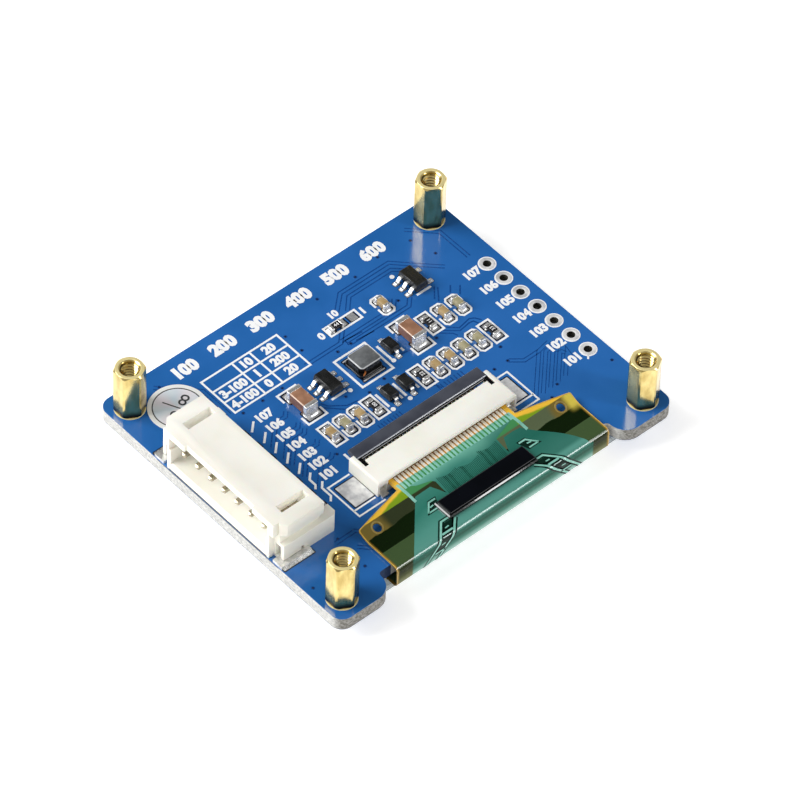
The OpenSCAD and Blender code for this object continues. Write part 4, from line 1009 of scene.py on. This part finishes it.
marks = bmesh.new()
for i, name in enumerate(n for n in CHIPS if n.startswith("resistor_")):
    low, high, centre = box_mm(name)
    digits(marks, str(i) * 2, 0.42, centre.x, centre.y, high.z - 0.03, high.z - 0.018,
           turn=ends(name)[0][0] * QUARTER_TURN, weight=0.01)
piece("resistor_marks", marks, "white_ink", "black_ceramic")


# Moulded parts with leads

LEAD_WIDTH, LEAD_THICK = 0.4, 0.12
CASE_FOOT, CASE_SLOPE = 0.08, 0.09


def lead(bm, start, height, foot, place):
    """A bent flat lead: a folded wall drawn from its side, given width and thickness."""
    path = [(start - 0.1, height), (start + 0.1, height), (start + 0.19, height - 0.07),
            (foot - 0.34, 0.13), (foot - 0.26, 0.065), (foot, 0.065)]
    part = bmesh.new()
    chain = [part.verts.new((u, -LEAD_WIDTH / 2, z)) for u, z in path]
    edges = [part.edges.new(each) for each in zip(chain, chain[1:])]
    wide = bmesh.ops.extrude_edge_only(part, edges=edges)
    bmesh.ops.translate(part, vec=(0, LEAD_WIDTH, 0), verts=new_verts(wide))
    bmesh.ops.solidify(part, geom=part.faces[:], thickness=LEAD_THICK)
    face_out(part)
    bevel(part, [e for e in part.edges if e.calc_face_angle(0) > 0.9], 0.018, 1, clamp=False)
    bmesh.ops.transform(part, matrix=place, verts=part.verts)
    join(bm, part, 1)


def moulded(name, size, sides, quarters=0):
    """A moulded case with sloping sides, a ring mark, and leads to the left and right of it."""
    low, high, centre = box_mm(name)
    length, width, height = size
    place = Matrix.Translation((centre.x, centre.y, TOP)) @ \
        Matrix.Rotation(quarters * QUARTER_TURN, 4, "Z")
    parting = CASE_FOOT + (height - CASE_FOOT) * 0.42
    case = bmesh.new()
    bmesh.ops.create_cube(case, size=1)
    uprights = [e for e in case.edges if abs(e.verts[0].co.z - e.verts[1].co.z) > 0.5]
    bmesh.ops.subdivide_edges(case, edges=uprights, cuts=1)
    for v in case.verts:
        waist = abs(v.co.z) < 0.1
        slope = 0 if waist else CASE_SLOPE
        v.co = Vector((math.copysign(length / 2 - slope, v.co.x),
                       math.copysign(width / 2 - slope, v.co.y),
                       parting if waist else (height if v.co.z > 0 else CASE_FOOT)))
    bevel(case, case.edges[:], 0.055, 1)
    bmesh.ops.transform(case, matrix=place, verts=case.verts)
    bm = bmesh.new()
    join(bm, case)
    if max(length, width) > 2:
        spot = place @ Vector((0.38 - length / 2, width / 2 - 0.42, 0))
        ring(bm, 0.13, 0.19, TOP + height - 0.02, TOP + height + 0.008, spot, 20, slope=0.01)
    foot = (high - low)[quarters] / 2
    for sign, leads in zip((-1, 1), sides):
        for step in leads:
            turn = Matrix.Rotation((1 - sign) * QUARTER_TURN, 4, "Z")
            lead(bm, length / 2, parting, foot,
                 place @ turn @ Matrix.Translation((0, step * LEAD_STEP * sign, 0)))
    dressed(name, bm, finishes="black_epoxy tinned_copper")


for name, sides in LEADS.items():
    moulded(name, (1.6, 2.9, 1.1), sides)
for name in DIODES:
    moulded(name, (1.75, 1.3, 0.95), ((0,), (0,)), quarters=1)

# Inductor

WIRE_R = 0.08
dressed("inductor_core", cad_copy("inductor_core", 0.08, 1))
dressed("inductor_coating", cad_copy("inductor_coating", 0.05))
wire = bmesh.new()
for start, end, height in ((-1.3, -0.5, 0.42), (-1.34, -0.3, 0.56)):
    tube(wire, [(INDUCTOR.x - 1.18 + 0.9 * t, INDUCTOR.y + start + (end - start) * t * t,
                 TOP + height + 0.1 * t) for t in (i / 8 for i in range(9))], WIRE_R)
piece("inductor_wire", wire, "enamelled_copper", "enamelled_copper")

# Header, socket and latch

dressed("header_housing", cad_copy("header_housing", 0.05), "header_moulding")
dressed("film_socket_housing", cad_copy("film_socket_housing", 0.025, 1), "socket_moulding")
dressed("film_socket_latch", cad_copy("film_socket_latch", 0.02, 1), "latch_moulding",
        body="latch")

# Standoffs with their threads

BORE_ROOT, BORE_CREST, FOOT_R = 1.0, 0.8, 1.64
THREAD_PITCH, THREAD_TURNS, THREAD_STEPS = 0.4, 14, 28
THREAD_PROFILE = ((BORE_ROOT + 0.005, 0.0), (BORE_CREST, 0.15), (BORE_CREST, 0.2),
                  (BORE_ROOT + 0.005, 0.35))


def widen_bore(centre):
    """Widens the bore to the roots of the thread, more at its mouth, and turns the flats."""
    def apply(bm):
        cut(bm, 2, STANDOFF_TOP - 0.25)
        for v in bm.verts:
            out = Vector((v.co.x - centre.x, v.co.y - centre.y))
            reach = BORE_ROOT + (0.16 if v.co.z > STANDOFF_TOP - 0.01 else 0)
            if out.length < reach:
                out = out.normalized() * reach
                v.co.x, v.co.y = centre.x + out.x, centre.y + out.y
        bmesh.ops.dissolve_degenerate(bm, edges=bm.edges, dist=1e-4)
        bmesh.ops.remove_doubles(bm, verts=bm.verts, dist=1e-4)
        turn_by(bm, math.pi / 6, centre)
    return apply


for name in (f"standoff_{i}" for i in range(1, 5)):
    low, high, centre = box_mm(name)
    bm = cad_copy(name, 0.03, 2, 20, widen_bore(centre))
    thread = bmesh.new()
    verts, _ = closed_ring(thread, [(r, 0, low.z + 0.3 + z) for r, z in THREAD_PROFILE])
    bmesh.ops.spin(thread, geom=[thread.faces.new(verts)], cent=(0, 0, 0), axis=(0, 0, 1),
                   angle=2 * math.pi * THREAD_TURNS, steps=THREAD_STEPS * THREAD_TURNS,
                   dvec=(0, 0, THREAD_PITCH / THREAD_STEPS))
    cut(thread, 2, high.z - 0.24, clear_outer=True)
    fill_ends(thread)
    move(thread, centre.x, centre.y, 0)
    join(bm, thread)
    turned(bm, [(1.4, TOP), (FOOT_R, TOP), (FOOT_R - 0.04, TOP + 0.1), (1.4, TOP + 0.1)],
           centre, 48)
    dressed(name, bm, name + "_threaded", sharp=24)


# Print on the film

def on_film(x, along, lift):
    """A point on the film's outer face: along is y until the fold, and then runs on round it."""
    if along > FOLD_START:
        s = min(max((SLOPE_START - along) / (SLOPE_START - SLOPE_END), 0), 1)
        drop = (1 - math.cos(math.pi * s)) / 2
        return Vector((x, along, FILM_TOP + (FILM_REST - FILM_TOP) * drop + lift))
    past = FOLD_START - along
    reach = FOLD_R + lift
    if past < FOLD_LENGTH:
        turn = past / FOLD_LENGTH * QUARTER_TURN
        return Vector((x, FOLD_START - reach * math.sin(turn),
                       FILM_REST - FOLD_R + reach * math.cos(turn)))
    past -= FOLD_LENGTH
    if past < FOLD_DROP:
        return Vector((x, FOLD_START - reach, FILM_REST - FOLD_R - past))
    turn = min((past - FOLD_DROP) / FOLD_LENGTH, 1) * QUARTER_TURN
    return Vector((x, FOLD_START - reach * math.cos(turn),
                   FILM_LOW.z + FOLD_R - reach * math.sin(turn)))


BENDS = [SLOPE_START - 0.25 * i for i in range(14)] + \
        [FOLD_START - FOLD_LENGTH * i / 10 for i in range(11)] + \
        [FOLD_START - FOLD_LENGTH - FOLD_DROP - FOLD_LENGTH * i / 10 for i in range(10)]


def wrap(bm, lift_low=0.0, lift_high=0.014):
    """Cuts a flat drawing (x, along, 0 or 1) where the film bends, and lays it on the film."""
    for along in BENDS:
        cut(bm, 1, along, dist=1e-5)
    for v in bm.verts:
        v.co = on_film(v.co.x, v.co.y, lift_high if v.co.z > 0.5 else lift_low)


COPPER_LEFT = [(-6.2, -10.36), (-5.6, -10.72), (-3.95, -11.12), (-3.62, -11.4), (-3.42, -12.9),
               (-3.95, -12.1), (-4.45, -11.52), (-6.45, -11.55), (-6.8, -11.95), (-11.4, -17.0),
               (-11.6, -18.97)]
COPPER_SIDE = [(8.0 + 1.215 * t - 0.0856 * t * t, -11.9 - t)
               for t in (7.1, 6.2, 5.3, 4.4, 3.6, 2.8, 2.1, 1.4, 0.7, 0.0)]
COPPER_RIGHT = [(7.55, -11.5), (6.6, -11.42), (5.4, -11.45), (5.15, -12.1), (4.85, -12.95),
                (4.65, -11.15), (7.2, -10.45), (7.2, -10.36)]
copper = bmesh.new()
slab(copper, COPPER_LEFT + COPPER_SIDE + COPPER_RIGHT)
wrap(copper, -0.01, 0.012)
copper_piece = piece("film_copper", copper, "film_print film_print_front", "film")
for face in copper_piece.data.polygons:
    face.material_index = int(face.center.z / MM < FILM_REST - FOLD_R * 0.55)

front = bmesh.new()
slab(front, corners(FILM_LOW.x + 0.01, FILM_HIGH.x - 0.01, -19.8, -17.1))
wrap(front, -0.02, 0.005)
piece("film_front", front, "film_front", "film")

FINGERS, FINGER_PITCH, TRACK_WIDTH = 30, 0.4828, 0.33
fingers, tracks = bmesh.new(), bmesh.new()
for i in range(FINGERS):
    x = FILM_X + (i - (FINGERS - 1) / 2) * FINGER_PITCH
    slab(fingers, corners(x - 0.15, x + 0.15, -9.5, -8.6))
    slab(tracks, corners(x - 0.14, x + 0.14, -10.42, -9.5))
stroke(tracks, [(-7.08, -9.5), (-7.02, -10.4), (-6.72, -11.98)], TRACK_WIDTH)
stroke(tracks, [(7.62, -9.5), (7.7, -10.4), (8.1, -12.0)], TRACK_WIDTH)
wrap(fingers, -0.01, 0.02)
wrap(tracks, -0.01, 0.016)
piece("film_fingers", fingers, "finger_gold", "gold_plate")
piece("film_tracks", tracks, "finger_print", "film")

FINE_LINES, FINE_PITCH = 44, 0.178
STRONG_LINES = (4, 5, 7, 8, 16, 17, 31, 32, 35, 36)
fine = bmesh.new()
for i in range(FINE_LINES):
    x = -3.2 + i * FINE_PITCH
    top = -11.15 - 0.3 * abs(math.sin(i * 0.21)) - (0.25 if abs(x - 0.6) < 1.4 else 0)
    stroke(fine, [(x - 0.12, top), (x, -11.9), (x, -13.1)], 0.11 if i in STRONG_LINES else 0.06)
wrap(fine, lift_high=0.016)
piece("film_fine_lines", fine, "fine_print", "film")

MARK_LEAN, DARK_EDGE = 0.95, 0.34
edging, marks = bmesh.new(), bmesh.new()


def film_marks(sign, shift, across):
    """Angled marks on one wing: pale strokes on dark ones that are a little wider."""
    def spots(*points):
        return [(sign * x + shift, y) for x, y in points]

    def drawn(points, width):
        stroke(edging, points, width + DARK_EDGE)
        stroke(marks, points, width)

    drawn(spots((5.3, -15.35), (6.4, -15.35), (10.1, -19.4)), 0.22)
    drawn(spots((4.9, -15.75), (8.5, -19.4)), 0.22)
    for top, bottom in ((-15.65, -16.5), (-17.0, -18.2)):
        lean, drop = (top + 15.65) * MARK_LEAN, (top - bottom) * MARK_LEAN
        slab(edging, spots((6.35 - lean, top), (5.0 - lean, top),
                           (5.0 - lean + drop, bottom), (6.35 - lean + drop, bottom)))
        drawn(spots((7.4 - lean, bottom - 0.15), (6.0 - lean, bottom - 0.15)), 0.2)
        stroke(marks, spots((6.6 - lean, top - 0.55), (6.1 - lean, top - 0.5)), 0.14)

    def block_spots(*points):
        return spots(*((x + across, y) for x, y in points))

    slab(edging, block_spots((6.85, -13.95), (5.75, -12.52), (4.65, -12.52), (4.95, -13.2),
                             (5.2, -13.95)))
    stroke(marks, block_spots((6.6, -13.75), (5.7, -12.72), (4.85, -12.72)), 0.18)
    stroke(marks, block_spots((6.55, -13.75), (5.35, -13.75)), 0.18)
    stroke(marks, block_spots((6.0, -13.28), (5.5, -13.2)), 0.16)


film_marks(-1, 0.0, 0.0)
film_marks(1, 0.7, 0.75)
wrap(edging, lift_high=0.018)
wrap(marks, lift_high=0.026)
piece("film_mark_edges", edging, "dark_print", "film")
piece("film_marks", marks, "finger_print", "film")

rims = bmesh.new()
for sign in (-1, 1):
    stroke(rims, [(FILM_X + sign * x, y) for x, y in
                  ((TONGUE_HALF - 0.05, -8.75), (TONGUE_HALF - 0.05, -10.03), (13.9, -11.3),
                   (14.04, -11.5), (14.04, -19.3))], 0.1)
wrap(rims, lift_high=0.012)
for x in (FILM_X - 12.2, FILM_X + 12.2):
    hole = bmesh.new()
    ring(hole, 0.49, 0.66, 0.0, 1.0, (x, -12.0), 32)
    wrap(hole)
    join(rims, hole, 1)
piece("film_rims", rims, "amber_rim hole_rim", "film")

# Driver chip and the resin round it

CHIP_LOW, CHIP_HIGH, _ = box_mm("driver_chip")
dressed("driver_chip", cad_copy("driver_chip", 0.05, 1), "driver_chip_polished", sharp=15)
bead = bmesh.new()
slab(bead, round_corners(CHIP_LOW.x - 0.24, CHIP_HIGH.x + 0.18, CHIP_LOW.y - 0.24,
                         CHIP_HIGH.y + 0.24, 0.12), CHIP_LOW.z - 0.01, CHIP_LOW.z + 0.34)
bevel(bead, [e for e in bead.edges if min(v.co.z for v in e.verts) > CHIP_LOW.z + 0.2], 0.2, 1)
piece("chip_resin", bead, "resin", "silicon", sharp=30)

# Ring, bar and numbers on the sticker

sticker = bmesh.new()
PRINT_LOW, PRINT_HIGH = STICKER_TOP - 0.01, STICKER_TOP + 0.006
ring(sticker, 2.52, 2.64, PRINT_LOW, PRINT_HIGH, STICKER, 64)
stroke(sticker, [(STICKER.x - 0.75, STICKER.y + 1.55), (STICKER.x + 0.75, STICKER.y - 1.55)],
       0.14, PRINT_LOW, PRINT_HIGH)
for text, x, y in (("3", -1.15, -0.5), ("8", 1.1, 0.4)):
    digits(sticker, text, 1.5, STICKER.x + x, STICKER.y + y, PRINT_LOW, PRINT_HIGH,
           turn=math.radians(115), weight=0.0)
piece("sticker_print", sticker, "dark_ink", "sticker_paper")

# Seal between the display's two glasses

SEAL_INSET, SEAL_WIDTH = 0.9, 0.8
GLASS_TOP = box_mm("front_glass")[1].z
cover_low, cover_high, _ = box_mm("cover_glass")
seal = bmesh.new()
stroke(seal, corners(cover_low.x + SEAL_INSET, cover_high.x - SEAL_INSET,
                     cover_low.y + SEAL_INSET, cover_high.y - SEAL_INSET),
       SEAL_WIDTH, GLASS_TOP - 0.02, GLASS_TOP + 0.02, closed=True)
piece("panel_seal", seal, "black_epoxy", "panel_glass")

# Floor, world and lights

floor = bmesh.new()
bmesh.ops.create_grid(floor, x_segments=1, y_segments=1, size=1.5)
for v in floor.verts:
    v.co.z = -0.02 * MM
floor_mesh = bpy.data.meshes.new("floor")
floor.to_mesh(floor_mesh)
floor.free()
floor_object = bpy.data.objects.new("floor", floor_mesh)
scene.collection.objects.link(floor_object)
floor_mesh.materials.append(FINISHES["floor_paper"])

world = bpy.data.worlds.new("studio")
scene.world = world
world.use_nodes = True
DIM_SIDE, BRIGHT, DIM = (0.46, 0.2, 0.866), 0.49, 0.05
facing = add(world.node_tree, "ShaderNodeVectorMath",
             {0: add(world.node_tree, "ShaderNodeTexCoord").outputs["Generated"], 1: DIM_SIDE},
             operation="DOT_PRODUCT").outputs["Value"]
feed(world.node_tree, world.node_tree.nodes["Background"],
     {"Color": (1, 1, 1, 1),
      "Strength": remap(world.node_tree, facing, 0.72, 0.9, BRIGHT, DIM, "SMOOTHSTEP")})
LAMP_DISTANCE = 0.6


def softbox(name, direction, width, height, power):
    """A flat lamp in a direction from the object, in metres and watts, that faces it."""
    light = bpy.data.lights.new(name, "AREA")
    light.shape, light.size, light.size_y, light.energy = "RECTANGLE", width, height, power
    lamp = bpy.data.objects.new(name, light)
    scene.collection.objects.link(lamp)
    lamp.location = Vector(direction).normalized() * LAMP_DISTANCE
    lamp.rotation_euler = Vector(direction).to_track_quat("Z", "Y").to_euler()


softbox("key", (-0.62, 0.5, 0.62), width=0.36, height=0.36, power=3.3)
softbox("strip", (0.45, -0.75, 0.48), width=0.085, height=0.26, power=0.8)
